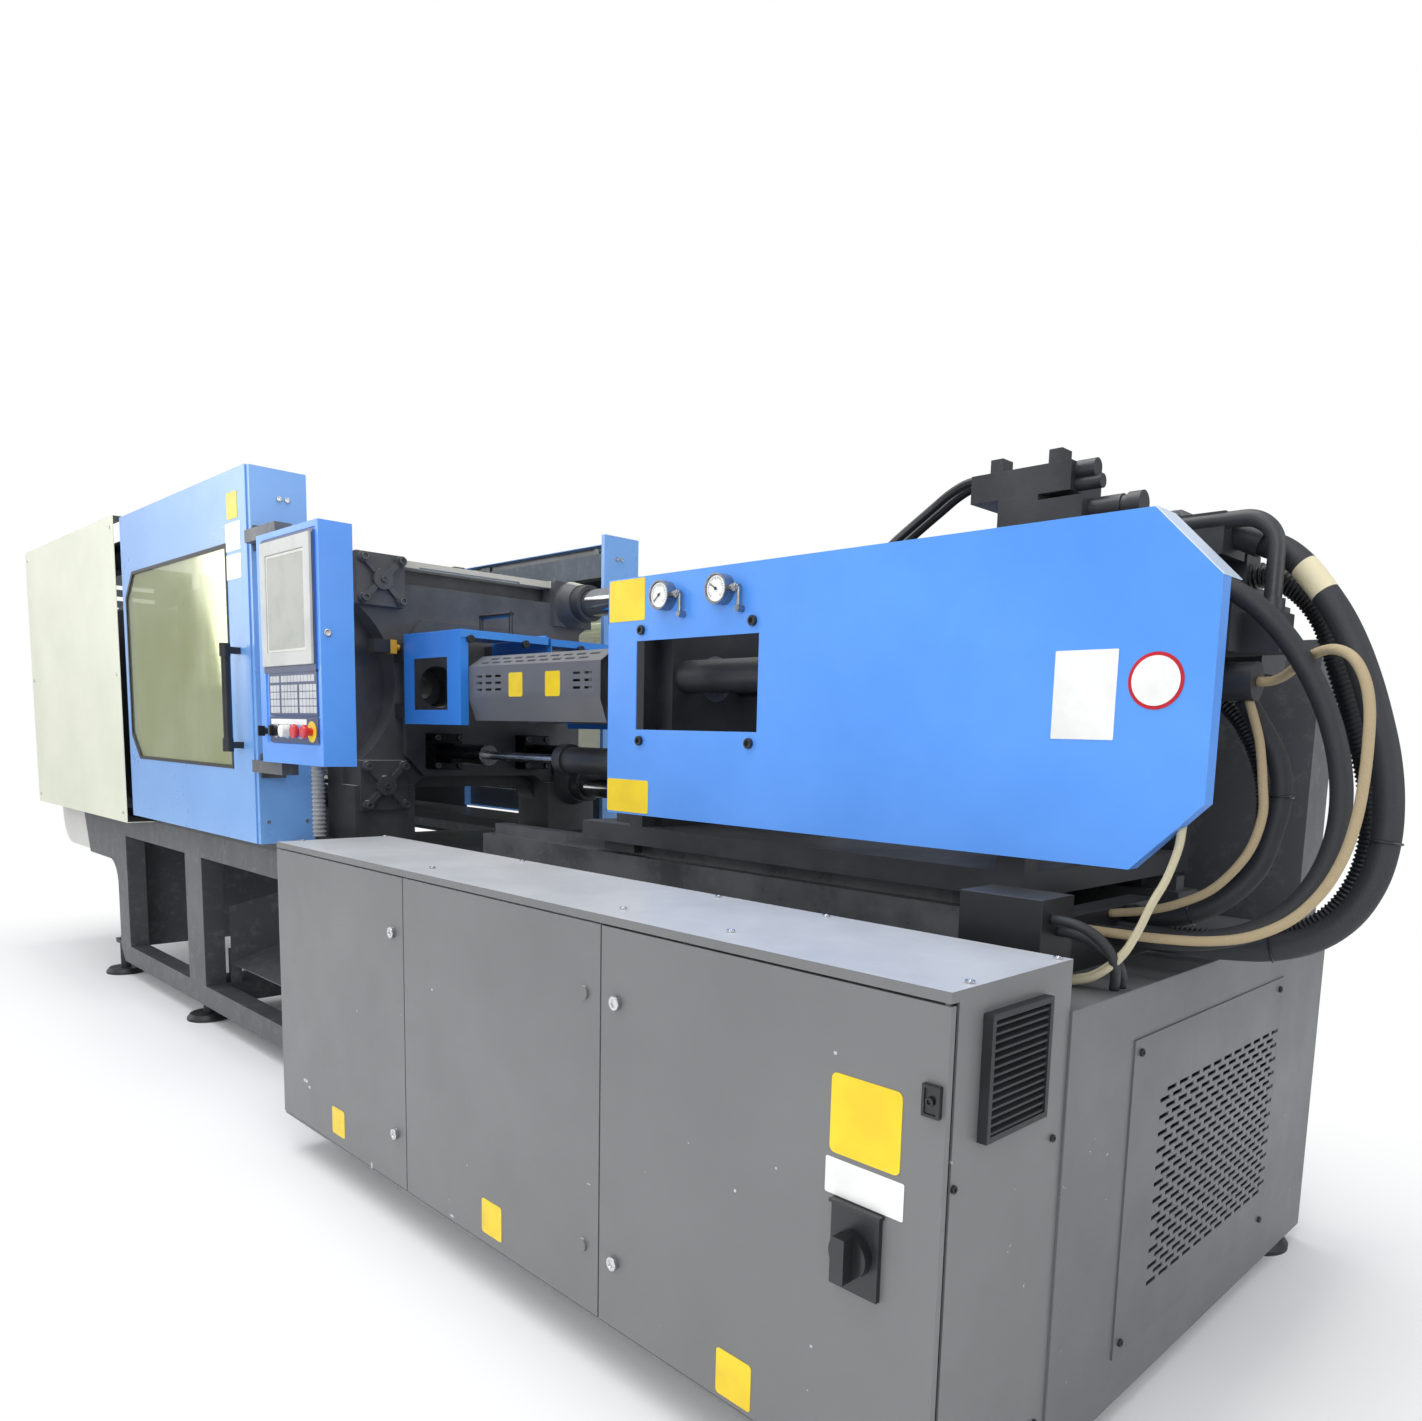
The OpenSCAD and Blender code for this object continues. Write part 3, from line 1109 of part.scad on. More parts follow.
ribbed_route = [[2850, 0, 1558], [2882, 0, 1558], [2922, 0, 1540], [2958, 0, 1508], [2988, 0, 1464], [3008, 0, 1414],
    [3028, 0, 1360], [3048, 0, 1302], [3068, 0, 1242], [3086, 0, 1180], [3098, -4, 1116], [3100, -10, 1052],
    [3088, -20, 990], [3060, -34, 934], [3014, -52, 892], [2956, -74, 868], [2890, -92, 860],
    [2815, -104, 858], [2740, -104, 858]];
tan_route = [[2930, -160, 1350], [2952, -160, 1350], [2978, -172, 1358], [3010, -200, 1376], [3046, -238, 1390],
    [3082, -268, 1392], [3114, -288, 1376], [3136, -298, 1342], [3148, -304, 1298], [3152, -308, 1246],
    [3152, -310, 1186],
    [3148, -314, 1124], [3136, -320, 1062], [3112, -330, 1004], [3074, -344, 956], [3022, -360, 924],
    [2960, -374, 908], [2880, -386, 902], [2800, -390, 900], [2740, -390, 900]];
module tube(route, d, sides) {
    n = len(route);
    ring = [for (i = [0:n - 1]) let (
        ahead = route[min(i + 1, n - 1)] - route[max(i - 1, 0)],
        t = ahead / norm(ahead),
        u0 = cross(t, [0, 1, 0]),
        u = u0 / norm(u0),
        v = cross(t, u))
        for (k = [0:sides - 1]) let (a = 360 * k / sides)
            route[i] + d / 2 * (u * cos(a) + v * sin(a))];
    faces = concat([[for (k = [0:sides - 1]) k]],
        [[for (k = [sides - 1:-1:0]) (n - 1) * sides + k]],
        [for (i = [0:n - 2], k = [0:sides - 1]) [i * sides + k, (i + 1) * sides + k,
            (i + 1) * sides + (k + 1) % sides, i * sides + (k + 1) % sides]]);
    polyhedron(ring, faces);
}
module main_hoses() in_place() color(dark) {
    tube(thick_route, 54, 10);
    tube(side_route, 38, 10);
}
module ribbed_hose() in_place() color(dark) tube(ribbed_route, 50, 10);
module signal_hoses() in_place() color("#b8a684") tube(tan_route, 17, 8);

clamp_bed();
bed_end_skirt();
levelling_feet();
injection_bed();
cabinet_shell();
grille_panel();
vent_filter();
rear_cabinet();
clamp_covers();
door_rails();
door_posts();
fixed_platen();
corner_plates();
tail_platen();
tie_bars();
tie_bar_nuts();
clamp_cylinder();
parts_chute();
limit_switch();
nozzle_guard();
guide_rails();
pull_in_rods();
operator_arm();
control_gear();
pump_motor();
operator_conduit();
main_hoses();
ribbed_hose();
signal_hoses();
moving_platen();
ejector();
crosshead();
upper_rear_links();
lower_rear_links();
upper_front_links();
lower_front_links();
upper_short_links();
lower_short_links();
front_door();
front_window();
front_handle();
rear_door();
rear_window();
operator_panel();
emergency_stop();
selector_knob();
guard_lid();
carriage();
barrels();
heat_shields();
screw_drive();
near_screw();
far_screw();
injection_covers();
pressure_gauges();
valve_block();
cabinet_door_1();
cabinet_door_2();
cabinet_door_3();
main_switch();
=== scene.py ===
"""Injection moulding machine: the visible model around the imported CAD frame.

Lengths are in millimetres in the machine's own axes, unless they say otherwise: x from the middle of
the fixed platen towards the injection end, y away from the operator, z up from the floor.
"""

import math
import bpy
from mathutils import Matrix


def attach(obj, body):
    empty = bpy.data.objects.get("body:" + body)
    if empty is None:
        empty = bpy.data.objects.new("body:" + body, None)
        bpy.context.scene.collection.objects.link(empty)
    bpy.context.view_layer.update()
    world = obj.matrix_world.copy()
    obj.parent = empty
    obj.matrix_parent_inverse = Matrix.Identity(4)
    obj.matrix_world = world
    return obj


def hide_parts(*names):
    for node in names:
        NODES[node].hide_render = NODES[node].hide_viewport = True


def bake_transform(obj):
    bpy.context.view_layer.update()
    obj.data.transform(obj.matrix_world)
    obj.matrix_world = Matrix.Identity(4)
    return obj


bl_info = {
    "name": "Injection moulding machine",
    "version": (1, 0, 0),
    "blender": (4, 5, 0),
    "location": "3D View > Sidebar > Machine",
    "description": "Builds the finishes and fine parts of an injection moulding machine",
    "category": "Object",
}

import bmesh
import bpy
from mathutils import Matrix, Vector

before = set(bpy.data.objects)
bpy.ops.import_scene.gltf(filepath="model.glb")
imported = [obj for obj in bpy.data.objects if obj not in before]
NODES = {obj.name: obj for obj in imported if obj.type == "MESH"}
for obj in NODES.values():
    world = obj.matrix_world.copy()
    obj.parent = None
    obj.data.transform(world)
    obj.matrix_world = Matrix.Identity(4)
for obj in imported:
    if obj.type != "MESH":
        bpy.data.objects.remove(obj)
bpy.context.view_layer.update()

# The row's origin lies under the middle of the outline; these shifts bring machine axes to it.
SHIFT_X, SHIFT_Y = 22.0, 107.5

# Faces on the operator's side: where their plates, screws and stickers sit
CABINET_FACE, COVER_FACE, DOOR_FACE, SHIELD_FACE = -991, -480, -811, -320
# Of a screw's head: the rim around its socket and the rounding as shares of its width, the socket's
# depth as a share of its height
SOCKET_RIM, HEAD_EDGE, SOCKET_DEPTH = 0.24, 0.06, 0.6
# Middle of the pressure gauges, and their scale: first mark and step in degrees
GAUGE_Z, SCALE_START, SCALE_STEP = 1553, -135, 13.5
# Keys of the operator panel: their pitch in a row and between rows
KEY_PITCH, ROW_PITCH = 24, 21.5
# Radius of a cable tie's band in metres
TIE_RADIUS = 0.0022
PANEL = "operator_panel"
# A normal or an edge counts as lying along an axis when its share of that axis is above this
ALONG = 0.99


def at(x, y, z):
    """A place in machine millimetres as a vector in metres."""
    return Vector(((x + SHIFT_X) / 1000, (y + SHIFT_Y) / 1000, z / 1000))


def linear(hex_colour):
    """An sRGB hex value as linear RGBA."""
    out = []
    for i in (1, 3, 5):
        c = int(hex_colour[i:i + 2], 16) / 255
        out.append(c / 12.92 if c <= 0.04045 else ((c + 0.055) / 1.055) ** 2.4)
    return (*out, 1.0)


# ---------------------------------------------------------------- mesh helpers


def deselect():
    if bpy.context.object and bpy.context.object.mode != "OBJECT":
        bpy.ops.object.mode_set(mode="OBJECT")
    bpy.ops.object.select_all(action="DESELECT")


def select(obj):
    deselect()
    obj.select_set(True)
    bpy.context.view_layer.objects.active = obj


def modify(obj, kind, **settings):
    """Adds a modifier with its settings and applies it."""
    select(obj)
    m = obj.modifiers.new(kind.lower(), kind)
    for key, value in settings.items():
        setattr(m, key, value)
    bpy.ops.object.modifier_apply(modifier=m.name)
    return obj


def soften(obj, width, segments=2, angle=35):
    """Rounds the hard edges and shades what lies between them smooth."""
    if width:
        modify(obj, "BEVEL", width=width / 1000, segments=segments, limit_method="ANGLE",
               angle_limit=math.radians(angle), harden_normals=False)
    select(obj)
    bpy.ops.object.shade_smooth_by_angle(angle=math.radians(32))
    if width:
        modify(obj, "WEIGHTED_NORMAL", weight=60, keep_sharp=True)
    return obj


def finish(obj, name, finish_name, body):
    """Names a piece, gives it its finish and lets it ride on a body."""
    obj.name = name
    obj.data.name = name
    obj.data.materials.clear()
    obj.data.materials.append(MATERIALS[finish_name])
    if body:
        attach(obj, body)
    return obj


def cuboid(x, y, z):
    """A rectangular piece between two places on each axis."""
    deselect()
    lo, hi = at(x[0], y[0], z[0]), at(x[1], y[1], z[1])
    bpy.ops.mesh.primitive_cube_add(size=1, location=(lo + hi) / 2)
    obj = bpy.context.object
    obj.scale = [abs(v) for v in hi - lo]
    bpy.ops.object.transform_apply(location=True, rotation=True, scale=True)
    return obj


# Turns that lay an upright cylinder along an axis
TURN = {"x": (0, math.pi / 2, 0), "y": (-math.pi / 2, 0, 0), "z": (0, 0, 0)}


def disc(axis, d, span, a, b, edge=0.8, sides=32, segments=2):
    """A round piece along an axis: d across, over a span, at a and b on the other two axes."""
    deselect()
    mid, depth = (span[0] + span[1]) / 2, abs(span[1] - span[0])
    place = {"x": (mid, a, b), "y": (a, mid, b), "z": (a, b, mid)}[axis]
    bpy.ops.mesh.primitive_cylinder_add(vertices=sides, radius=d / 2000, depth=depth / 1000,
                                        location=at(*place), rotation=TURN[axis])
    obj = bpy.context.object
    bpy.ops.object.transform_apply(location=True, rotation=True, scale=True)
    return soften(obj, edge, segments, 50)


def join(parts):
    deselect()
    for p in parts:
        p.select_set(True)
    bpy.context.view_layer.objects.active = parts[0]
    if len(parts) > 1:
        bpy.ops.object.join()
    return bpy.context.object


def replace(node, finish_name, body, width):
    """A copy of a CAD node with merged vertices and rounded edges, which then stands for the node."""
    source = NODES[node]
    copy = source.copy()
    copy.data = source.data.copy()
    bpy.context.scene.collection.objects.link(copy)
    copy.parent = None
    copy.matrix_world = source.matrix_world.copy()
    select(copy)
    bpy.ops.object.mode_set(mode="EDIT")
    bpy.ops.mesh.select_all(action="SELECT")
    bpy.ops.mesh.remove_doubles(threshold=0.00002)
    bpy.ops.mesh.dissolve_limited(angle_limit=math.radians(0.5))
    bpy.ops.object.mode_set(mode="OBJECT")
    finish(soften(copy, width, angle=30), node + "_rounded", finish_name, body)
    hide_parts(node)


def pick(obj, mode, wanted):
    """Opens a mesh for editing with the wanted edges or faces selected."""
    select(obj)
    bpy.ops.object.mode_set(mode="EDIT")
    bpy.ops.mesh.select_mode(type=mode)
    bpy.ops.mesh.select_all(action="DESELECT")
    bm = bmesh.from_edit_mesh(obj.data)
    for element in bm.edges if mode == "EDGE" else bm.faces:
        if wanted(element):
            element.select_set(True)
    bmesh.update_edit_mesh(obj.data)


def sink(obj, facing, rim, depth):
    """Sinks the flat face that looks along facing, inside a rim."""
    pick(obj, "FACE", lambda f: f.normal.dot(facing) > ALONG)
    bpy.ops.mesh.inset(thickness=rim / 1000)
    bpy.ops.mesh.extrude_region_move(TRANSFORM_OT_translate={"value": facing * (-depth / 1000)})
    bpy.ops.object.mode_set(mode="OBJECT")


def slab(x, z, y, corner=3.0, edge=0.4, rim=0.0, depth=0.0):
    """A flat upright piece with rounded corners that faces the operator; rim and depth sink its face."""
    obj = cuboid(x, y, z)
    if corner:
        pick(obj, "EDGE", lambda e: abs((e.verts[1].co - e.verts[0].co).normalized().y) > ALONG)
        bpy.ops.mesh.bevel(offset=corner / 1000, segments=4, affect="EDGES")
        bpy.ops.object.mode_set(mode="OBJECT")
    if depth:
        sink(obj, Vector((0, -1, 0)), rim, depth)
    return soften(obj, edge)


def sticker(name, x, z, face, corner, finish_name, body):
    """A thin plate on a face that looks at the operator."""
    finish(slab(x, z, (face - 1.1, face - 0.05), corner), name, finish_name, body)


def turn_to(axis, sign):
    """The turn that brings an upright piece to an axis."""
    way = Vector([sign * float(axis == k) for k in "xyz"])
    return way.to_track_quat("Z", "Y").to_matrix().to_4x4()


def bolt(axis, sign, d, h, x, y, z, socket=True):
    """The head of a cap screw that stands h out of a face at a place, with its socket."""
    deselect()
    bpy.ops.mesh.primitive_cylinder_add(vertices=24, radius=d / 2000, depth=h / 1000,
                                        location=(0, 0, h / 2000))
    obj = bpy.context.object
    bpy.ops.object.transform_apply(location=True, rotation=True, scale=True)
    if socket:
        sink(obj, Vector((0, 0, 1)), d * SOCKET_RIM, h * SOCKET_DEPTH)
    soften(obj, d * HEAD_EDGE, 2, 40)
    obj.data.transform(Matrix.Translation(at(x, y, z)) @ turn_to(axis, sign))
    return obj


def turned(obj, degrees, x, z):
    """Turns a piece about the y axis through the origin, then brings the origin to a place in x and z."""
    obj.data.transform(Matrix.Translation(at(x, 0, z)) @ Matrix.Rotation(math.radians(degrees), 4, "Y")
                       @ Matrix.Translation(-at(0, 0, 0)))
    return obj


def repeat(obj, shifts):
    """A piece made at its first place, copied by further shifts in millimetres and joined."""
    parts = [obj]
    for shift in shifts:
        copy = obj.copy()
        copy.data = obj.data.copy()
        copy.data.transform(Matrix.Translation(Vector(shift) / 1000))
        bpy.context.scene.collection.objects.link(copy)
        parts.append(copy)
    return join(parts)


def window_ring(outer, inner, y):
    """A flat ring between two outlines of as many corners in x and z, between two places on y."""
    mesh = bpy.data.meshes.new("ring")
    bm = bmesh.new()
    loops = [[bm.verts.new(at(x, v, z)) for x, z in line] for v in y for line in (outer, inner)]
    n = len(outer)
    for a, b in ((0, 1), (1, 3), (3, 2), (2, 0)):
        for k in range(n):
            k2 = (k + 1) % n
            bm.faces.new((loops[a][k], loops[a][k2], loops[b][k2], loops[b][k]))
    bmesh.ops.recalc_face_normals(bm, faces=bm.faces)
    bm.to_mesh(mesh)
    bm.free()
    obj = bpy.data.objects.new("ring", mesh)
    bpy.context.scene.collection.objects.link(obj)
    return soften(obj, 0.5)


# ---------------------------------------------------------------- materials


# Sizes of the patterns: sand of the moulds, ground lines, spark-eroded grain; the last two are drawn
# coarser than they are, so that they show in the render
GRAIN_MM, LINE_MM, SPARK_MM = 5.0, 1.5, 1.2
NOISE, RAMP, MIX = "ShaderNodeTexNoise", "ShaderNodeValToRGB", "ShaderNodeMixRGB"
MATH, SPLIT, BUMP = "ShaderNodeMath", "ShaderNodeSeparateXYZ", "ShaderNodeBump"


def connect(tree, node, links=(), inputs=()):
    """Sets a node's values and links its inputs: links are (input, from node, output)."""
    for key, value in dict(inputs).items():
        node.inputs[key].default_value = value
    for name, source, output in links:
        tree.links.new(source.outputs[output], node.inputs[name])


def add(tree, kind, links=(), inputs=(), stops=(), **settings):
    """Adds a node with its settings, values, links and the (position, colour) stops of a ramp."""
    node = tree.nodes.new(kind)
    for key, value in settings.items():
        setattr(node, key, value)
    connect(tree, node, links, inputs)
    for k, (position, colour) in enumerate(stops):
        elements = node.color_ramp.elements
        element = elements[k] if k < len(elements) else elements.new(position)
        element.position, element.color = position, colour
    return node


def new_material(name):
    """A material, its tree, its shader and the link that brings in the place on the object."""
    mat = bpy.data.materials.new(name)
    mat.use_nodes = True
    tree = mat.node_tree
    place = [("Vector", add(tree, "ShaderNodeTexCoord"), "Object")]
    return mat, tree, tree.nodes["Principled BSDF"], place


def grey(v):
    return (v, v, v, 1.0)


def inside(tree, place, box):
    """A mask that is one inside a box: its spans on x, y and z, None where a span is open."""
    split = add(tree, SPLIT, place)
    mask = None
    for axis, (low, high), shift in zip("XYZ", box, (SHIFT_X, SHIFT_Y, 0.0)):
        for limit, test in ((low, "GREATER_THAN"), (high, "LESS_THAN")):
            if limit is None:
                continue
            part = add(tree, MATH, [(0, split, axis)], {1: (limit + shift) / 1000}, operation=test)
            if mask is not None:
                part = add(tree, MATH, [(0, mask, "Value"), (1, part, "Value")], operation="MULTIPLY")
            mask = part
    return mask


def patched(tree, place, base, patches, top):
    """Paints boxes of a piece in another colour, then a pale film on what faces up, partly dust and partly
    painted light falling from above.
    """
    for box, colour in patches:
        base = add(tree, MIX, [("Fac", inside(tree, place, box), "Value"), ("Color1", base, "Color")],
                   {"Color2": linear(colour)})
    if top:
        colour, amount = top
        up = add(tree, SPLIT, [("Vector", add(tree, "ShaderNodeNewGeometry"), "Normal")])
        film = add(tree, NOISE, place, {"Scale": 4.0, "Detail": 9.0, "Roughness": 0.68})
        thick = add(tree, RAMP, [("Fac", film, "Fac")],
                    stops=[(0.3, grey(amount * 0.72)), (0.62, grey(amount))])
        level = add(tree, RAMP, [("Fac", up, "Z")], stops=[(0.86, grey(0.0)), (0.97, grey(1.0))])
        both = add(tree, MIX, [("Color1", thick, "Color"), ("Color2", level, "Color")], {"Fac": 1.0},
                   blend_type="MULTIPLY")
        base = add(tree, MIX, [("Fac", both, "Color"), ("Color1", base, "Color")],
                   {"Color2": linear(colour)})
    return base


def sprayed(name, colour, shade, rough=0.4, texture_mm=2.4, chips=0.0, dust=0.0, coat=0.15, patches=(),
            top=None):
    """Sprayed or powder-coated steel: fine orange peel, slow drift of tone, grime and a few chips."""
    mat, tree, shader, place = new_material(name)
    cloud = add(tree, NOISE, place, {"Scale": 1.7, "Detail": 5.0, "Roughness": 0.6})
    base = add(tree, RAMP, [("Fac", cloud, "Fac")], stops=[(0.3, linear(shade)), (0.62, linear(colour))])
    edge = 0.735 - 0.02 * chips
    for amount, spot, stops, paint in (
            (dust, (22.0, 8.0, 0.7), [(0.52, grey(0.0)), (0.8, grey(dust))], "#B9B7AE"),
            (chips, (34.0, 3.0, 0.75), [(edge, grey(0.0)), (edge + 0.015, grey(1.0))], "#C9C9C6")):
        if amount:
            spots = add(tree, NOISE, place, zip(("Scale", "Detail", "Roughness"), spot))
            mask = add(tree, RAMP, [("Fac", spots, "Fac")], stops=stops)
            base = add(tree, MIX, [("Fac", mask, "Color"), ("Color1", base, "Color")],
                       {"Color2": linear(paint)})
    base = patched(tree, place, base, patches, top)
    wipe = add(tree, NOISE, place, {"Scale": 5.0, "Detail": 6.0, "Roughness": 0.65})
    gloss = add(tree, RAMP, [("Fac", wipe, "Fac")],
                stops=[(0.3, grey(rough - 0.06)), (0.7, grey(rough + 0.08))])
    peel = add(tree, NOISE, place, {"Scale": 1000 / texture_mm, "Detail": 2.0})
    bump = add(tree, BUMP, [("Height", peel, "Fac")], {"Strength": 0.12, "Distance": 0.0006})
    connect(tree, shader, [("Base Color", base, "Color"), ("Roughness", gloss, "Color"),
                           ("Normal", bump, "Normal")], {"Coat Weight": coat, "Coat Roughness": 0.2})
    return mat


def cast(name, colour, shade, rough=0.55, oil=0.4, patches=(), top=None):
    """Painted casting: a coarse sand skin under thick paint, darker where oil has settled."""
    mat, tree, shader, place = new_material(name)
    cloud = add(tree, NOISE, place, {"Scale": 6.0, "Detail": 8.0, "Roughness": 0.62})
    base = add(tree, RAMP, [("Fac", cloud, "Fac")], stops=[(0.36, linear(shade)), (0.62, linear(colour))])
    base = patched(tree, place, base, patches, top)
    gloss = add(tree, RAMP, [("Fac", cloud, "Fac")],
                stops=[(0.35, grey(rough - oil * 0.35)), (0.65, grey(rough))])
    sand = add(tree, NOISE, place, {"Scale": 1000 / GRAIN_MM, "Detail": 5.0, "Roughness": 0.6})
    bump = add(tree, BUMP, [("Height", sand, "Fac")], {"Strength": 0.35, "Distance": 0.0015})
    connect(tree, shader, [("Base Color", base, "Color"), ("Roughness", gloss, "Color"),
                           ("Normal", bump, "Normal")])
    return mat


def bare_metal(name, colour, shade, rough, stretch=(0.02, 1.0, 1.0), patches=()):
    """Bare steel: turned or ground lines along one axis, with a thin film of oil."""
    mat, tree, shader, place = new_material(name)
    run = add(tree, "ShaderNodeMapping", place, {"Scale": stretch})
    lines = add(tree, NOISE, [("Vector", run, "Vector")], {"Scale": 1000 / LINE_MM, "Detail": 3.0})
    film = add(tree, NOISE, place, {"Scale": 9.0, "Detail": 5.0})
    base = add(tree, RAMP, [("Fac", film, "Fac")], stops=[(0.35, linear(shade)), (0.6, linear(colour))])
    base = patched(tree, place, base, patches, None)
    gloss = add(tree, RAMP, [("Fac", lines, "Fac")],
                stops=[(0.3, grey(rough - 0.07)), (0.7, grey(rough + 0.1))])
    bump = add(tree, BUMP, [("Height", lines, "Fac")], {"Strength": 0.06, "Distance": 0.0003})
    connect(tree, shader, [("Base Color", base, "Color"), ("Roughness", gloss, "Color"),
                           ("Normal", bump, "Normal")], {"Metallic": 1.0})
    return mat


def moulded(name, colour, shade, rough=0.45, bump_strength=0.15, coat=0.0, patches=()):
    """Moulded plastic: fine spark-eroded grain and a slight drift of tone."""
    mat, tree, shader, place = new_material(name)
    cloud = add(tree, NOISE, place, {"Scale": 14.0, "Detail": 4.0})
    base = add(tree, RAMP, [("Fac", cloud, "Fac")], stops=[(0.35, linear(shade)), (0.6, linear(colour))])
    base = patched(tree, place, base, patches, None)
    grain = add(tree, NOISE, place, {"Scale": 1000 / SPARK_MM, "Detail": 2.0})
    bump = add(tree, BUMP, [("Height", grain, "Fac")], {"Strength": bump_strength, "Distance": 0.0003})
    connect(tree, shader, [("Base Color", base, "Color"), ("Normal", bump, "Normal")],
            {"Roughness": rough, "Coat Weight": coat})
    return mat


def woven(name, colour, shade, pitch_mm, rough, tape=None):
    """Hose cover of wound and woven cord: a diagonal weave in the hose's own UV map, in millimetres.

    tape is (from, to, colour) of a band of cloth tape along the hose."""
    mat, tree, shader, _ = new_material(name)
    uv = add(tree, "ShaderNodeUVMap", uv_map="UVMap")
    run = add(tree, "ShaderNodeMapping", [("Vector", uv, "UV")],
              {"Scale": (1 / pitch_mm,) * 3, "Rotation": (0, 0, math.radians(45))})
    weave = add(tree, "ShaderNodeTexBrick", [("Vector", run, "Vector")],
                {"Color1": grey(1.0), "Color2": grey(0.75), "Mortar": grey(0.0), "Scale": 1.0,
                 "Mortar Size": 0.08, "Mortar Smooth": 0.9, "Brick Width": 1.0, "Row Height": 0.5})
    base = add(tree, RAMP, [("Fac", weave, "Color")], stops=[(0.0, linear(shade)), (0.9, linear(colour))])
    if tape:
        along = add(tree, SPLIT, [("Vector", uv, "UV")])
        after, before = (add(tree, MATH, [(0, along, "Y")], {1: limit}, operation=test)
                         for limit, test in zip(tape, ("GREATER_THAN", "LESS_THAN")))
        band = add(tree, MATH, [(0, after, "Value"), (1, before, "Value")], operation="MULTIPLY")
        base = add(tree, MIX, [("Fac", band, "Value"), ("Color1", base, "Color")],
                   {"Color2": linear(tape[2])})
    bump = add(tree, BUMP, [("Height", weave, "Color")], {"Strength": 0.4, "Distance": 0.001})
    connect(tree, shader, [("Base Color", base, "Color"), ("Normal", bump, "Normal")],
            {"Roughness": rough})
    return mat


def window_sheet(name, colour):
    """Polycarbonate sheet: half a metallic mirror in a warm tint that also stands as a painted reflection
    of a lit room, half shows what is behind.
    """
    mat, tree, shader, place = new_material(name)
    smear = add(tree, NOISE, place, {"Scale": 3.0, "Detail": 4.0})
    gloss = add(tree, RAMP, [("Fac", smear, "Fac")], stops=[(0.35, grey(0.03)), (0.7, grey(0.1))])
    tint_and_reflection = add(tree, RAMP, [("Fac", smear, "Fac")],
               stops=[(0.35, linear("#D9E0A6")), (0.7, linear(colour))])
    connect(tree, shader, [("Roughness", gloss, "Color"), ("Base Color", tint_and_reflection, "Color")],
            {"Metallic": 0.75, "Alpha": 0.62})
    return mat


MATERIALS = {}
# The finishes of the machine's pieces
# Boxes of machine space that hold another colour: spans on x, y and z
ALL = (None, None)
SWITCH_BOX = ((2676, 2774), (-1004, -991.4), (420, 554))
# The inner faces of the doors and the covers are painted dark grey: painted shade, so that the inside of
# the guards looks dark
DOOR_INSIDE_SHADE = ((-1381, -15), (-810.4, 810.4), (830, 2053))
COVER_INSIDE_SHADE = ((-3009.5, -1441), (-820.5, 820.5), (None, 2073.5))
# The grip of the rear door is black, like the front door's
REAR_GRIP = ((-140, -80), (811.8, None), (1150, 1480))
# The guard's brackets are painted dark grey as painted shade
GUARD_BRACKETS_SHADE = ((None, 141.5), ALL, ALL)
LID_BAIL = (ALL, (-148, -132), (1551, None))
DECK_FITTINGS = (ALL, (-600, None), (819, None))
BED_DECK = ((-1500, None), ALL, (786, None))
PLATEN_TOP = ((-124, 60), ALL, (1793.5, 1830))
ROD_FEET = ((None, 428), ALL, ALL)
SWITCH_LEVER = (ALL, (-394, None), ALL)


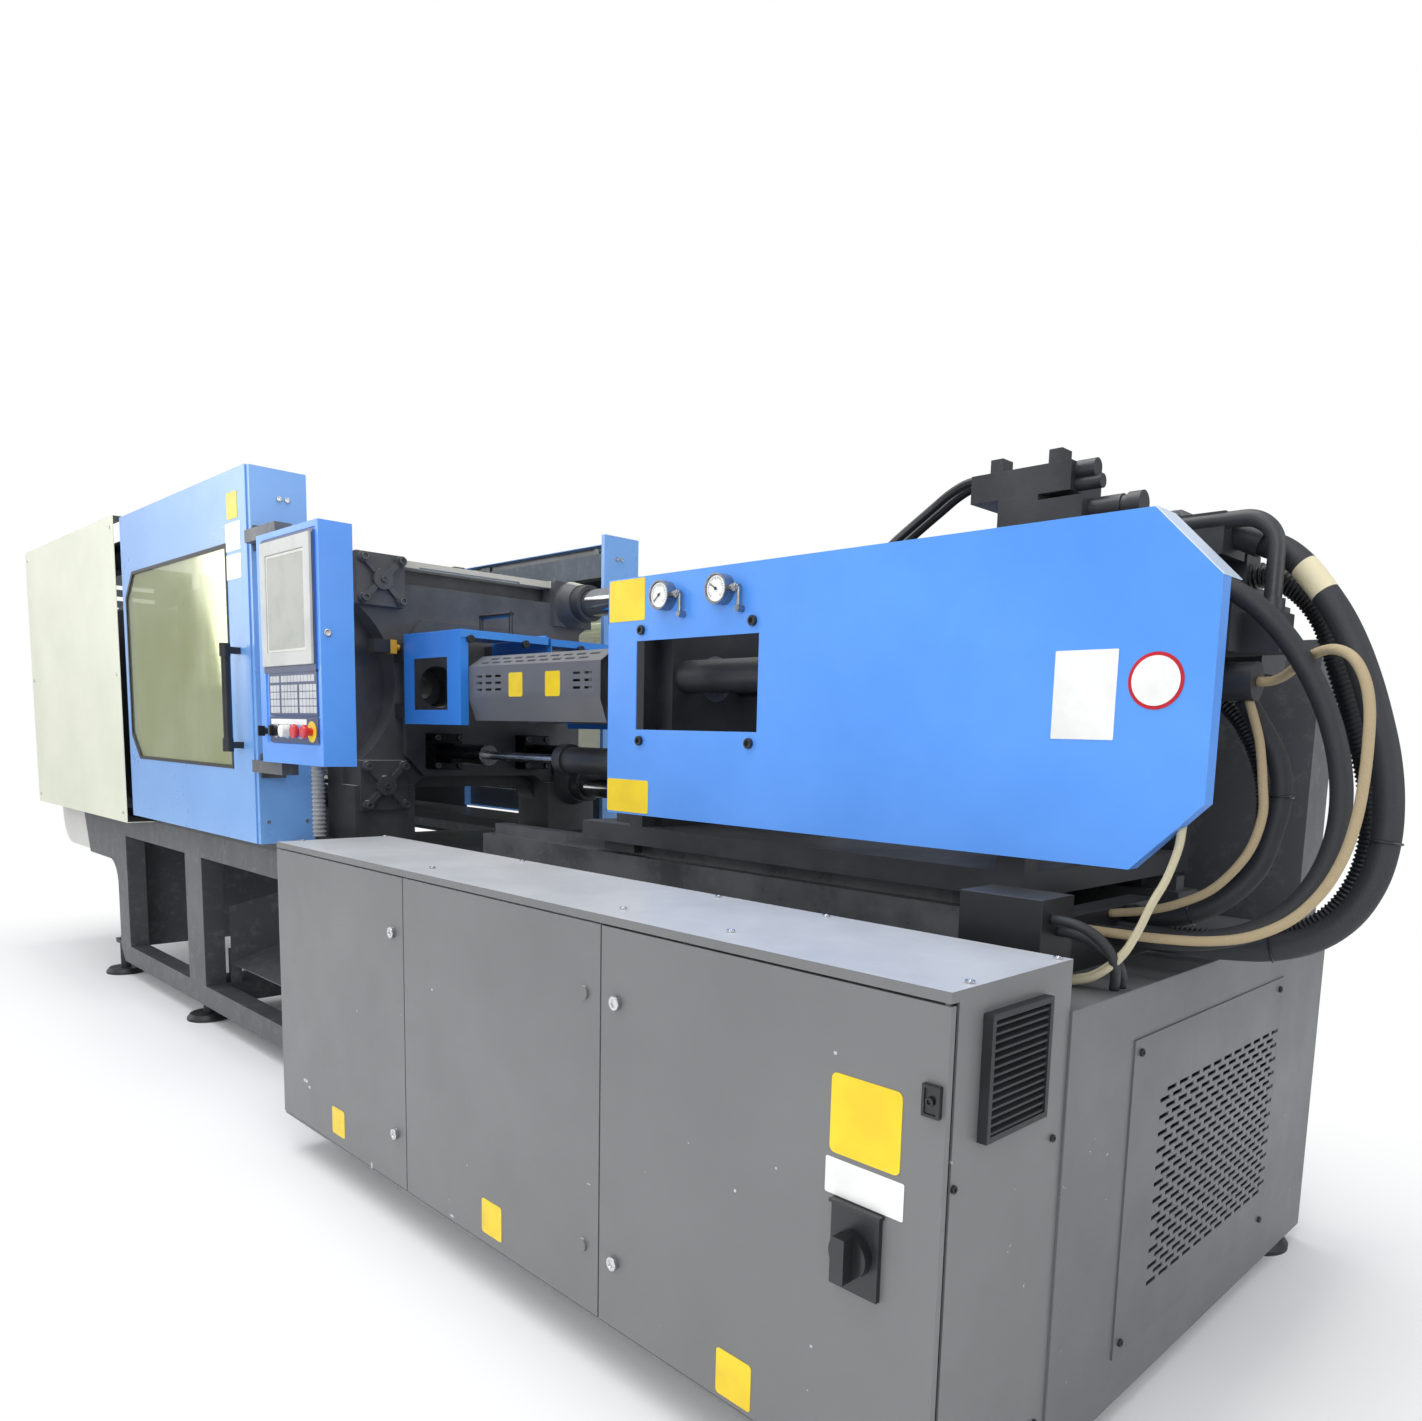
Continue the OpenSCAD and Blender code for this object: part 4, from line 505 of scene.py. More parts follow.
def make_materials(colours):
    """Every finish of the machine; the names say what the real surface is."""
    blue, cream = colours.cover_blue, colours.cream
    # Where a finish has top, its pale film on what faces up is partly dust and partly painted light from
    # above
    made = {
        # Bright blue powder coat, smooth enough to mirror the lamps softly
        "sheet_blue": sprayed("powder coated steel, azure", blue, "#4C8FE6", rough=0.36, coat=0.3),
        # The cover's slanted flange: the cover's blue painted pale, as painted light falling from above
        "flange_blue_lit": sprayed("powder coated steel, pale azure", "#DCE9FA", "#C9DCF6", rough=0.25,
            texture_mm=2.2, coat=0.4),
        # The same blue on the doors, paler where the daylight of the hall falls on it, with painted shade
        # on the inner faces
        "door_blue": sprayed("powder coated steel, door azure", "#79ABE8", "#6B9EDF", rough=0.3,
            coat=0.35, patches=[(DOOR_INSIDE_SHADE, "#30353C"), (REAR_GRIP, "#26272A")]),
        # Blue guard whose welded brackets are painted dark grey: painted shade where they sit behind the
        # guard's wall
        "guard_blue": sprayed("powder coated steel, guard azure", "#2F84E0", "#2474D0", rough=0.36,
            coat=0.3, patches=[(GUARD_BRACKETS_SHADE, "#2B2C2F")]),
        "lid_blue": sprayed("powder coated steel, lid azure", "#3C8DE4", "#2E7CD6", rough=0.36,
            texture_mm=2.2, coat=0.3, patches=[(LID_BAIL, "#1D1E20")]),
        # Cream covers whose inner faces are painted dark grey as painted shade
        "cream": sprayed("powder coated steel, cream", cream, "#DFE2CB", rough=0.34, coat=0.3,
            patches=[(COVER_INSIDE_SHADE, "#3E4246")]),
        "skirt": sprayed("powder coated steel, pale grey", "#DAD8D2", "#CFCDC6", rough=0.4, coat=0.2),
        # Hammered enamel of the electrical cabinet, with chipped spots and a pale film on top, partly dust
        # and partly painted light from above
        "cabinet": sprayed("hammered enamel, cabinet grey", colours.cabinet_grey, "#6C6C6D",
            rough=0.42, texture_mm=2.0, chips=0.25, coat=0.1, top=("#CACCCE", 0.72)),
        "switch_door": sprayed("hammered enamel, switch door", colours.cabinet_grey, "#6C6C6D",
            rough=0.42, texture_mm=2.0, chips=0.35, coat=0.1, patches=[(SWITCH_BOX, "#232427")]),
        "bed_enamel": sprayed("hammered enamel, injection bed", "#67686A", "#5F6062", rough=0.44,
            texture_mm=2.0, chips=0.15, coat=0.1, patches=[(DECK_FITTINGS, "#17181B")],
            top=("#6D6F70", 0.3)),
        "grille": sprayed("hammered enamel, grille", "#626365", "#5A5B5D", rough=0.44, texture_mm=2.0),
        "frame": sprayed("hammered enamel, frame grey", "#55575B", "#4A4C50", rough=0.48,
            texture_mm=2.5, dust=0.25),
        "clamp_frame": sprayed("hammered enamel, clamp frame", "#4B4D51", "#3F4145", rough=0.48,
            texture_mm=2.5, dust=0.2, patches=[(BED_DECK, "#2A2B2E")]),
        "navy_frame": sprayed("enamelled steel, slate navy", "#3A4656", "#303B49", rough=0.45,
            texture_mm=2.5, dust=0.2, top=("#B9B6AC", 0.6)),
        "casting": cast("painted cast iron, graphite", "#545558", "#424346", rough=0.5,
            patches=[(PLATEN_TOP, "#C4BEAF")], top=("#D6D3C8", 0.85)),
        "unit_casting": cast("painted cast iron, dark", "#3B3C3F", "#2B2C2F", rough=0.5,
            top=("#77797A", 0.35)),
        "link_iron": cast("oiled cast iron", "#5A5B5D", "#414244", rough=0.42, oil=0.6),
        "chrome_rod": bare_metal("hard chromed steel", "#D8DADC", "#B9BCBF", rough=0.14),
        "ground_steel": bare_metal("ground steel", "#A9ABAD", "#8A8C8F", rough=0.3),
        # Ground rods whose feet on the platen are oiled and dark
        "foot_rod": bare_metal("ground steel, oiled feet", "#B4B6B8", "#94969A", rough=0.24,
            patches=[(ROD_FEET, "#2B2C2E")]),
        "lock_steel": bare_metal("nickel plated steel", "#D3D4D4", "#BFC0C1", rough=0.22,
            stretch=(1.0, 1.0, 1.0)),
        "shield": sprayed("stoved enamel, shield grey", "#6A6B6E", "#5C5D61", rough=0.45,
            texture_mm=1.6, top=("#8B8D8F", 0.4)),
        "black": moulded("moulded nylon, black", "#26272A", "#1E1F21", rough=0.5),
        "switch_body": moulded("moulded nylon, switch body", "#26272A", "#1E1F21", rough=0.45,
            patches=[(SWITCH_LEVER, "#E0A92A")]),
        "knob_black": moulded("moulded phenolic, black", "#202124", "#18191B", rough=0.32, coat=0.2),
        "red": moulded("moulded ABS, red", "#D2202B", "#B81A25", rough=0.25, coat=0.5),
        "white": moulded("moulded ABS, white", "#E9E9E6", "#DCDCD8", rough=0.35),
        "navy": moulded("printed film, navy", "#39466B", "#333F62", rough=0.35, bump_strength=0.04),
        "bezel": moulded("moulded ABS, pale grey", "#C3C5C2", "#B8BAB7", rough=0.4),
        "bezel_light": moulded("moulded ABS, off white", "#D8DAD4", "#CDCFC9", rough=0.4),
        "key_grey": moulded("embossed keys, pale grey", "#C4C7CB", "#B5B8BD", rough=0.45,
            bump_strength=0.05),
        "screen": moulded("matt screen glass, pale grey", "#A2A59C", "#979A92", rough=0.4,
            bump_strength=0.02, coat=0.1),
        "rubber": woven("woven hose cover, black", "#303136", "#151618", pitch_mm=6.0, rough=0.55,
            tape=(86, 152, "#D9CFAE")),
        "rubber_plain": woven("woven hose cover, plain", "#2C2D31", "#141517", pitch_mm=5.0,
            rough=0.55),
        "ribbed": moulded("corrugated polyamide, black", "#1E1F22", "#151618", rough=0.38,
            bump_strength=0.1),
        "panel_duct": moulded("corrugated polyamide, grey", "#8B8D90", "#76787B", rough=0.35,
            bump_strength=0.1),
        "tan": woven("braided glass sleeve, tan", "#B8A684", "#8F7E5E", pitch_mm=3.0, rough=0.7),
        "pale_sleeve": woven("braided glass sleeve, pale", "#C9C1A4", "#A69C7E", pitch_mm=3.0,
            rough=0.65),
        # The window's warm tint also serves as a painted reflection of a lit room
        "window": window_sheet("polycarbonate sheet, warm tint", colours.window_tint_and_reflection),
        "bare_spot": moulded("knocked off enamel", "#C6CAD0", "#AEB2B8", rough=0.6),
        "relay": moulded("moulded polycarbonate, light grey", "#9A9C9E", "#86888A", rough=0.4),
        "yellow": moulded("plain vinyl, yellow", "#F2D21B", "#E8C617", rough=0.3, bump_strength=0.03),
        "vinyl_white": moulded("plain vinyl, white", "#F1F1EF", "#E6E6E3", rough=0.3,
            bump_strength=0.03),
        "vinyl_red": moulded("plain vinyl, red", "#C3202F", "#B01A28", rough=0.3, bump_strength=0.03),
    }
    MATERIALS.update(made)


# The CAD nodes of each finish
NODES_OF_FINISH = {
    "clamp_frame": "clamp_bed",
    "skirt": "bed_end_skirt",
    "black": "levelling_feet vent_filter front_handle",
    "bed_enamel": "injection_bed",
    "cabinet": "cabinet_shell cabinet_door_1 cabinet_door_2",
    "grille": "grille_panel",
    "frame": "rear_cabinet parts_chute operator_arm",
    "cream": "clamp_covers",
    "navy_frame": "door_rails",
    "door_blue": "door_posts front_door rear_door",
    "casting": "fixed_platen corner_plates tail_platen moving_platen",
    "chrome_rod": "tie_bars",
    "unit_casting": "tie_bar_nuts clamp_cylinder pump_motor carriage screw_drive valve_block",
    "switch_body": "limit_switch",
    "guard_blue": "nozzle_guard",
    "link_iron": "guide_rails upper_rear_links lower_rear_links upper_front_links lower_front_links "
        "upper_short_links lower_short_links",
    "foot_rod": "pull_in_rods",
    "relay": "control_gear",
    "panel_duct": "operator_conduit",
    "rubber": "main_hoses",
    "ribbed": "ribbed_hose",
    "tan": "signal_hoses",
    "ground_steel": "ejector crosshead barrels near_screw far_screw pressure_gauges",
    "window": "front_window rear_window",
    "sheet_blue": "operator_panel injection_covers",
    "red": "emergency_stop",
    "knob_black": "selector_knob main_switch",
    "lid_blue": "guard_lid",
    "shield": "heat_shields",
    "switch_door": "cabinet_door_3",
}
NODE_FINISH = {node: name for name, nodes in NODES_OF_FINISH.items() for node in nodes.split()}

# CAD pieces that get rounded edges: the node, its body and the width of the rounding in millimetres
ROUNDED = (
    ("cabinet_shell", "machine", 1.2), ("cabinet_door_1", "cabinet_door_1", 1.2),
    ("cabinet_door_2", "cabinet_door_2", 1.2), ("cabinet_door_3", "cabinet_door_3", 1.2),
    ("clamp_covers", "machine", 1.2), ("injection_covers", "carriage", 1.0),
    ("operator_panel", "operator_panel", 1.6), ("front_door", "front_door", 1.0),
    ("front_handle", "front_door", 2.5), ("door_posts", "machine", 1.0),
    ("emergency_stop", "emergency_stop", 4.0), ("selector_knob", "selector_knob", 1.5),
    ("main_switch", "main_switch", 2.0), ("guard_lid", "guard_lid", 1.0), ("clamp_bed", "machine", 2.5),
    ("fixed_platen", "machine", 6.0), ("moving_platen", "moving_platen", 5.0),
    ("carriage", "carriage", 3.0), ("valve_block", "carriage", 2.5), ("heat_shields", "carriage", 0.8),
    ("injection_bed", "machine", 1.5), ("corner_plates", "machine", 2.5), ("pull_in_rods", "machine", 2.0),
    ("tie_bar_nuts", "machine", 3.0), ("limit_switch", "machine", 1.5),
)

# Hose routes of the CAD model, in machine millimetres
THICK_ROUTE = [[2900, -96, 1602], [2935, -96, 1585], [2970, -99, 1555], [3005, -104, 1512],
    [3040, -110, 1462], [3070, -118, 1408], [3097, -128, 1348], [3120, -136, 1285], [3140, -144, 1218],
    [3152, -150, 1150], [3155, -156, 1080], [3145, -166, 1012], [3118, -180, 952], [3072, -196, 908],
    [3010, -212, 884], [2940, -226, 876], [2870, -236, 874], [2800, -240, 874], [2740, -240, 874]]
SIDE_ROUTE = [[2790, -280, 1522], [2824, -280, 1522], [2865, -284, 1518], [2908, -284, 1502],
    [2950, -277, 1474], [2990, -268, 1434], [3025, -260, 1386], [3057, -254, 1330], [3082, -250, 1270],
    [3100, -250, 1206], [3108, -252, 1140], [3104, -258, 1075], [3086, -270, 1014], [3052, -286, 960],
    [3002, -304, 922], [2940, -320, 900], [2870, -330, 890], [2800, -336, 886], [2740, -336, 886]]
RIBBED_ROUTE = [[2850, 0, 1558], [2882, 0, 1558], [2922, 0, 1540], [2958, 0, 1508], [2988, 0, 1464],
    [3008, 0, 1414], [3028, 0, 1360], [3048, 0, 1302], [3068, 0, 1242], [3086, 0, 1180], [3098, -4, 1116],
    [3100, -10, 1052], [3088, -20, 990], [3060, -34, 934], [3014, -52, 892], [2956, -74, 868],
    [2890, -92, 860], [2815, -104, 858], [2740, -104, 858]]
TAN_ROUTE = [[2930, -160, 1350], [2952, -160, 1350], [2978, -172, 1358], [3010, -200, 1376],
    [3046, -238, 1390], [3082, -268, 1392], [3114, -288, 1376], [3136, -298, 1342], [3148, -304, 1298],
    [3152, -308, 1246], [3152, -310, 1186], [3148, -314, 1124], [3136, -320, 1062], [3112, -330, 1004],
    [3074, -344, 956], [3022, -360, 924], [2960, -374, 908], [2880, -386, 902], [2800, -390, 900],
    [2740, -390, 900]]
# Hoses of the inner bundle, which only the scene has
SENSOR_ROUTE = [[2918, -160, 1317], [2932, -164, 1282], [2948, -173, 1238], [2964, -190, 1170],
    [2973, -205, 1112], [2960, -224, 1046], [2920, -248, 985], [2870, -262, 952], [2812, -270, 930],
    [2740, -274, 915]]
OIL_ROUTE = [[2902, -140, 1322], [2922, -130, 1288], [2943, -121, 1250], [2967, -125, 1204],
    [2978, -130, 1145], [2972, -140, 1082], [2957, -160, 1012], [2916, -185, 956], [2862, -200, 922],
    [2800, -205, 908], [2740, -206, 906]]
CABLE_ROUTE = [[2760, -60, 1345], [2800, -62, 1338], [2850, -66, 1308], [2890, -70, 1260],
    [2920, -76, 1200], [2936, -82, 1140], [2938, -88, 1075], [2924, -98, 1010], [2888, -114, 952],
    [2826, -138, 912], [2740, -152, 902]]
PALE_ROUTE = [[2935, -458, 1100], [2933, -462, 1065], [2921, -470, 1015], [2904, -480, 972],
    [2888, -488, 925], [2866, -496, 880], [2826, -503, 842], [2786, -507, 826]]


def smooth_route(points, step=0.006):
    """Catmull-Rom points along a route, about step metres apart."""
    pts = [at(*p) for p in points]
    pts = [pts[0] * 2 - pts[1], *pts, pts[-1] * 2 - pts[-2]]
    out = []
    for i in range(1, len(pts) - 2):
        a, b, c, d = pts[i - 1:i + 3]
        n = max(2, int((c - b).length / step))
        for k in range(n):
            t = k / n
            out.append(0.5 * (2 * b + (c - a) * t + (2 * a - 5 * b + 4 * c - d) * t * t
                              + (3 * b - a - 3 * c + d) * t * t * t))
    out.append(pts[-2])
    return out


def hose(name, points, d, sides=20, rib=None, step=0.006):
    """A tube along a route, with a UV map in millimetres; rib is (depth, pitch) of corrugations."""
    path = smooth_route(points, step)
    mesh = bpy.data.meshes.new(name)
    bm = bmesh.new()
    layer = bm.loops.layers.uv.new("UVMap")
    rings, travel, lengths = [], 0.0, []
    for i, p in enumerate(path):
        if i:
            travel += (p - path[i - 1]).length
        lengths.append(travel)
        ahead = (path[min(i + 1, len(path) - 1)] - path[max(i - 1, 0)]).normalized()
        u = ahead.cross(Vector((0, 1, 0))).normalized()
        v = ahead.cross(u)
        r = d / 2000
        if rib:
            r -= rib[0] / 1000 * (0.5 - 0.5 * math.cos(2 * math.pi * travel * 1000 / rib[1]))
        turns = [2 * math.pi * k / sides for k in range(sides)]
        rings.append([bm.verts.new(p + r * (u * math.cos(a) + v * math.sin(a))) for a in turns])
    around = math.pi * d
    for i in range(len(rings) - 1):
        for k in range(sides):
            k2 = (k + 1) % sides
            face = bm.faces.new((rings[i][k], rings[i + 1][k], rings[i + 1][k2], rings[i][k2]))
            face.smooth = True
            for loop, (row, col) in zip(face.loops, ((i, k), (i + 1, k), (i + 1, k + 1), (i, k + 1))):
                loop[layer].uv = (col / sides * around, lengths[row] * 1000)
    bm.faces.new(rings[0])
    bm.faces.new(rings[-1][::-1])
    bmesh.ops.recalc_face_normals(bm, faces=bm.faces)
    bm.to_mesh(mesh)
    bm.free()
    obj = bpy.data.objects.new(name, mesh)
    bpy.context.scene.collection.objects.link(obj)
    return obj, path


# ---------------------------------------------------------------- operators


def paint(name, text, value):
    return bpy.props.StringProperty(name=name, description=text, default=value)


def width(name, text, value, low, high):
    return bpy.props.FloatProperty(name=name, description=text, default=value, min=low, max=high)


class MachineColours(bpy.types.PropertyGroup):
    cover_blue: paint("Cover blue", "Paint of the injection covers", "#5A9CF4")
    cream: paint("Cream", "Paint of the clamp covers", "#ECEDD9")
    cabinet_grey: paint("Cabinet grey", "Enamel of the cabinet", "#737374")
    # The window's warm tint also serves as a painted reflection of a lit room
    window_tint_and_reflection: paint("Window tint", "Tint of the door window", "#E7ECC2")


class MachineSizes(bpy.types.PropertyGroup):
    thick_hose: width("Thick hose", "Outside of the pressure hose, mm", 47.0, 30.0, 54.0)
    side_hose: width("Side hose", "Outside of the return hose, mm", 35.0, 20.0, 38.0)
    ribbed_hose: width("Ribbed hose", "Outside of the cable conduit, mm", 50.0, 30.0, 60.0)


class MACHINE_OT_stage(bpy.types.Operator):
    """Floor, lamps and the camera"""
    bl_idname = "machine.stage"
    bl_label = "Stage and camera"

    def execute(self, context):
        scene = context.scene
        scene.view_settings.view_transform = "Standard"
        data = bpy.data.cameras.new("camera")
        # Fitted to corner points and straight edges of the machine in the photograph
        data.lens = 26.2647
        data.sensor_width = 36.0
        data.shift_x, data.shift_y = -0.02734, 0.11217
        data.clip_end = 100
        camera = bpy.data.objects.new("camera", data)
        camera.location = (3.62458, -2.03053, 1.22717)
        camera.rotation_euler = [math.radians(a) for a in (82.6947, -1.5244, 44.4416)]
        scene.collection.objects.link(camera)
        scene.camera = camera

        deselect()
        bpy.ops.mesh.primitive_plane_add(size=60, location=(0, 0, 0))
        floor = context.object
        floor.name = "floor"
        # White studio floor: plain white away from the machine, with its shadow close by
        mat, tree, shader, place = new_material("studio floor, white")
        connect(tree, shader, inputs={"Base Color": linear("#F2F3F4"), "Roughness": 0.9})
        split = add(tree, SPLIT, place)
        away = []
        for axis, half_m in (("X", 3.0), ("Y", 0.8)):
            size = add(tree, MATH, [(0, split, axis)], operation="ABSOLUTE")
            away.append(add(tree, MATH, [(0, size, "Value")], {1: half_m}, operation="SUBTRACT"))
        far = add(tree, MATH, [(0, away[0], "Value"), (1, away[1], "Value")], operation="MAXIMUM")
        near = add(tree, RAMP, [("Fac", far, "Value")],
                   stops=[(0.0, grey(0.0)), (0.12, grey(0.25)), (1.0, grey(1.0))])
        path = add(tree, "ShaderNodeLightPath")
        seen = add(tree, MATH, [(0, path, "Is Camera Ray"), (1, near, "Color")], operation="MULTIPLY")
        glow = add(tree, "ShaderNodeEmission", inputs={"Color": grey(1.0), "Strength": 1.0})
        mix = add(tree, "ShaderNodeMixShader",
                  [("Fac", seen, "Value"), (1, shader, "BSDF"), (2, glow, "Emission")])
        connect(tree, tree.nodes["Material Output"], [("Surface", mix, "Shader")])
        floor.data.materials.append(mat)

        world = bpy.data.worlds.new("studio")
        scene.world = world
        world.use_nodes = True
        tree = world.node_tree
        tree.nodes.clear()
        path = add(tree, "ShaderNodeLightPath")
        seen = add(tree, MATH, [(0, path, "Is Camera Ray"), (1, path, "Is Transmission Ray")],
                   operation="MAXIMUM")
        lit = add(tree, "ShaderNodeBackground", inputs={"Color": linear("#F3F6FA"), "Strength": 0.5})
        shown = add(tree, "ShaderNodeBackground", inputs={"Color": grey(1.0), "Strength": 1.0})
        mix = add(tree, "ShaderNodeMixShader",
                  [("Fac", seen, "Value"), (1, lit, "Background"), (2, shown, "Background")])
        add(tree, "ShaderNodeOutputWorld", [("Surface", mix, "Shader")])

        # Lamps: place, target and size in metres, power in watts
        for name, spot, target, size, power in (
                ("overhead", (0.5, -1.0, 6.5), (0.0, 0.0, 0.5), 6.0, 380),
                ("front", (4.5, -6.5, 3.6), (0.8, -0.5, 0.9), 4.0, 190),
                ("end", (7.0, 0.8, 3.0), (2.4, 0.0, 0.8), 3.0, 60),
                ("left", (-6.5, -4.5, 3.5), (-1.5, 0.0, 1.0), 4.0, 120)):
            lamp = bpy.data.lights.new(name, "AREA")
            lamp.size = size
            lamp.energy = power
            obj = bpy.data.objects.new(name, lamp)
            obj.location = spot
            obj.rotation_euler = (Vector(target) - Vector(spot)).to_track_quat("-Z", "Y").to_euler()
            scene.collection.objects.link(obj)
        return {"FINISHED"}


class MACHINE_OT_finishes(bpy.types.Operator):
    """Materials of the CAD pieces"""
    bl_idname = "machine.finishes"
    bl_label = "Finishes"

    def execute(self, context):
        for node, finish_name in NODE_FINISH.items():
            NODES[node].data.materials.clear()
            NODES[node].data.materials.append(MATERIALS[finish_name])
        for node, body, width in ROUNDED:
            replace(node, NODE_FINISH[node], body, width)
        return {"FINISHED"}


class MACHINE_OT_hoses(bpy.types.Operator):
    """Hoses and cable conduits"""
    bl_idname = "machine.hoses"
    bl_label = "Hoses"

    def execute(self, context):
        sizes = context.scene.machine_sizes
        plan = (
            ("pressure_hose", THICK_ROUTE, sizes.thick_hose, None, "rubber", "main_hoses"),
            ("return_hose", SIDE_ROUTE, sizes.side_hose, None, "rubber_plain", "main_hoses"),
            ("cable_conduit", RIBBED_ROUTE, sizes.ribbed_hose, (3.5, 9.0), "ribbed", "ribbed_hose"),
            ("heater_sleeve", TAN_ROUTE, 17.0, None, "tan", "signal_hoses"),
            ("sensor_sleeve", SENSOR_ROUTE, 16.0, None, "tan", None),
            ("oil_hose", OIL_ROUTE, 36.0, None, "rubber_plain", None),
            ("inner_conduit", CABLE_ROUTE, 34.0, (3.0, 8.0), "ribbed", None),
            ("pale_sleeve_1", PALE_ROUTE, 13.0, None, "pale_sleeve", None),
            ("pale_sleeve_2", [[x - 4, y + 14, z + 3] for x, y, z in PALE_ROUTE], 13.0, None,
             "pale_sleeve", None),
        )
        for name, route, d, rib, finish_name, node in plan:
            obj, path = hose(name, route, d, rib=rib, step=rib[1] / 6000 if rib else 0.008)
            finish(obj, name, finish_name, None)
            if node:
                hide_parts(node)
            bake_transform(obj)
        # Cable ties around the hoses, blended like the hose that they hold
        for name, route, d, places in (("hose_ties", THICK_ROUTE, 50.5, (10, 14)),
                                       ("sleeve_ties", OIL_ROUTE, 39.0, (4, 8))):
            path = smooth_route(route)
            rings = []
            for k in places:
                centre, ahead = at(*route[k]), (at(*route[k + 1]) - at(*route[k - 1])).normalized()
                bpy.ops.mesh.primitive_torus_add(major_radius=d / 2000, minor_radius=TIE_RADIUS,
                                                 major_segments=32, minor_segments=8, location=centre,
                                                 rotation=ahead.to_track_quat("Z", "Y").to_euler())
                ring = context.object
                bpy.ops.object.transform_apply(location=True, rotation=True, scale=True)
                rings.append(soften(ring, 0))
            obj = finish(join(rings), name, "knob_black", None)
            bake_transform(obj)
        obj, path = hose("panel_conduit", [[525, -826, z] for z in range(900, 1110, 16)], 40,
                         rib=(5.0, 13.0), step=13 / 8000)
        finish(obj, "panel_conduit", "panel_duct", None)
        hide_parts("operator_conduit")
        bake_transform(obj)
        # Sensor hoses from the junction box down into the deck
        for k, shift in enumerate((0, 26)):
            route = [[2765, -548 + shift, 936 - shift * 0.9], [2790, -548 + shift, 936 - shift * 0.9],
                     [2820, -544 + shift, 930 - shift * 0.9], [2843, -532 + shift, 914 - shift * 0.9],
                     [2855, -512 + shift, 890 - shift * 0.7], [2856, -492 + shift, 862 - shift * 0.4],
                     [2852, -478 + shift, 838], [2848, -472 + shift, 819]]
            obj, path = hose("deck_hose_%d" % (k + 1), route, 17, sides=16)
            finish(obj, obj.name, "rubber_plain", "machine")
        return {"FINISHED"}


class MACHINE_OT_operator_panel(bpy.types.Operator):
    """Screen, key field and buttons of the operator panel"""
    bl_idname = "machine.operator_panel"
    bl_label = "Operator panel"

    def execute(self, context):
        # Plates, screen and strips: x, z, y, corner, edge, rim and depth, as slab takes them
        for name, finish_name, *shape in (
                ("screen_surround", "navy", (219, 598), (1382, 1781), (-855.4, -854.1), 6),
                ("screen_bezel", "bezel", (229, 588), (1402, 1771), (-864, -855.4), 0, 1.5, 40, 5),
                ("screen_frame", "bezel_light", (270, 547), (1443, 1729.5), (-861, -858.9), 0, 0.4, 7, 1.4),
                ("screen_glass", "screen", (277.4, 539.6), (1450.4, 1722), (-860.3, -859.5), 2),
                ("key_field", "navy", (248, 597), (1254, 1383), (-853.4, -852.1), 5),
                ("button_plate", "navy", (245, 599), (1173, 1251), (-853.6, -852.1), 5),
                ("button_strip", "vinyl_white", (258, 520), (1228, 1244), (-854.3, -853.5), 2)):
            finish(slab(*shape), name, finish_name, PANEL)
        rows = [(1354, ((259, 3), (343, 10)))]
        rows += [(1262 + ROW_PITCH * i, ((259, 3), (343, 5), (475, 5))) for i in range(4)]
        places = [(x + KEY_PITCH * j, z) for z, groups in rows for x, n in groups for j in range(n)]
        (x0, z0), *others = places
        key = slab((0, 21), (0, 19), (-854.3, -853.3), 2, 0.25)
        key.data.transform(Matrix.Translation(Vector((x0, 0, z0)) / 1000))
        finish(repeat(key, [(x - x0, 0, z - z0) for x, z in others]), "keys", "key_grey", PANEL)
        rings = [disc("y", d, (y, -853), x, 1208, edge) for d, y, x, edge in
                 ((46, -857, 384, 1.2), (46, -857, 479, 1.2), (44, -855, 293, 0.8))]
        finish(join(rings), "button_rings", "lock_steel", PANEL)
        finish(disc("y", 38, (-878, -856), 384, 1208, 3, segments=3), "start_button", "white", PANEL)
        finish(disc("y", 42, (-882, -866), 479, 1208, 5, segments=3), "stop_button", "red", PANEL)
        finish(disc("y", 62, (-855, -853.6), 556, 1208, 0.6), "stop_ring", "yellow", PANEL)
        lock = [disc("y", 22, (-858, -850), 212, 1206, 1.5),
                slab((208.5, 215.5), (1190, 1222), (-878, -857), 2, 1)]
        finish(join(lock), "key_lock", "knob_black", PANEL)
        finish(bolt("x", 1, 22, 5, 621, -830, 1490), "panel_lock", "lock_steel", PANEL)
        return {"FINISHED"}


class MACHINE_OT_clamp_guards(bpy.types.Operator):
    """Trim of the safety doors, the posts and the clamp covers"""
    bl_idname = "machine.clamp_guards"
    bl_label = "Clamp guards"

    def execute(self, context):
        def outline(grow):
            cut = 97
            left, right, low, high = -1335 - grow, -200 + grow, 1078 - grow, 1820 + grow
            return [(left, low + cut), (left, high - cut), (left + cut, high), (right, high),
                    (right, low), (left + cut, low)]

        for sign, name in ((-1, "front"), (1, "rear")):
            ring = window_ring(outline(7), outline(-5), (813.5 * sign, 810.9 * sign))
            finish(ring, name + "_gasket", "black", name + "_door")
        sticker("door_patch", (-176, -82), (1899, 1985), DOOR_FACE, 8, "yellow", "front_door")
        sticker("door_plate_1", (-196, -62), (1796, 1888), DOOR_FACE, 4, "vinyl_white", "front_door")
        sticker("door_plate_2", (-196, -62), (1704, 1785), DOOR_FACE, 4, "vinyl_white", "front_door")
        heads = [bolt("x", 1, 17, 6, 13, s * y, 1960) for s in (-1, 1) for y in (714, 688)]
        heads += [bolt("x", 1, 12, 5, 13, s * y, z)
                  for s in (-1, 1) for y in (650, 780) for z in (900, 1400)]
        finish(join(heads), "post_screws", "lock_steel", "machine")
        cover = [bolt("y", s, 14, 5, x, s * 822, z) for s in (-1, 1) for x in (-2960, -1480)
                 for z in (830, 1420, 2030)]
        cover += [bolt("x", -1, 14, 5, -3011, y, z)
                  for y in (-770, -60, 60, 770) for z in (830, 1420, 2030)]
        finish(join(cover), "cover_screws", "lock_steel", "machine")
        return {"FINISHED"}


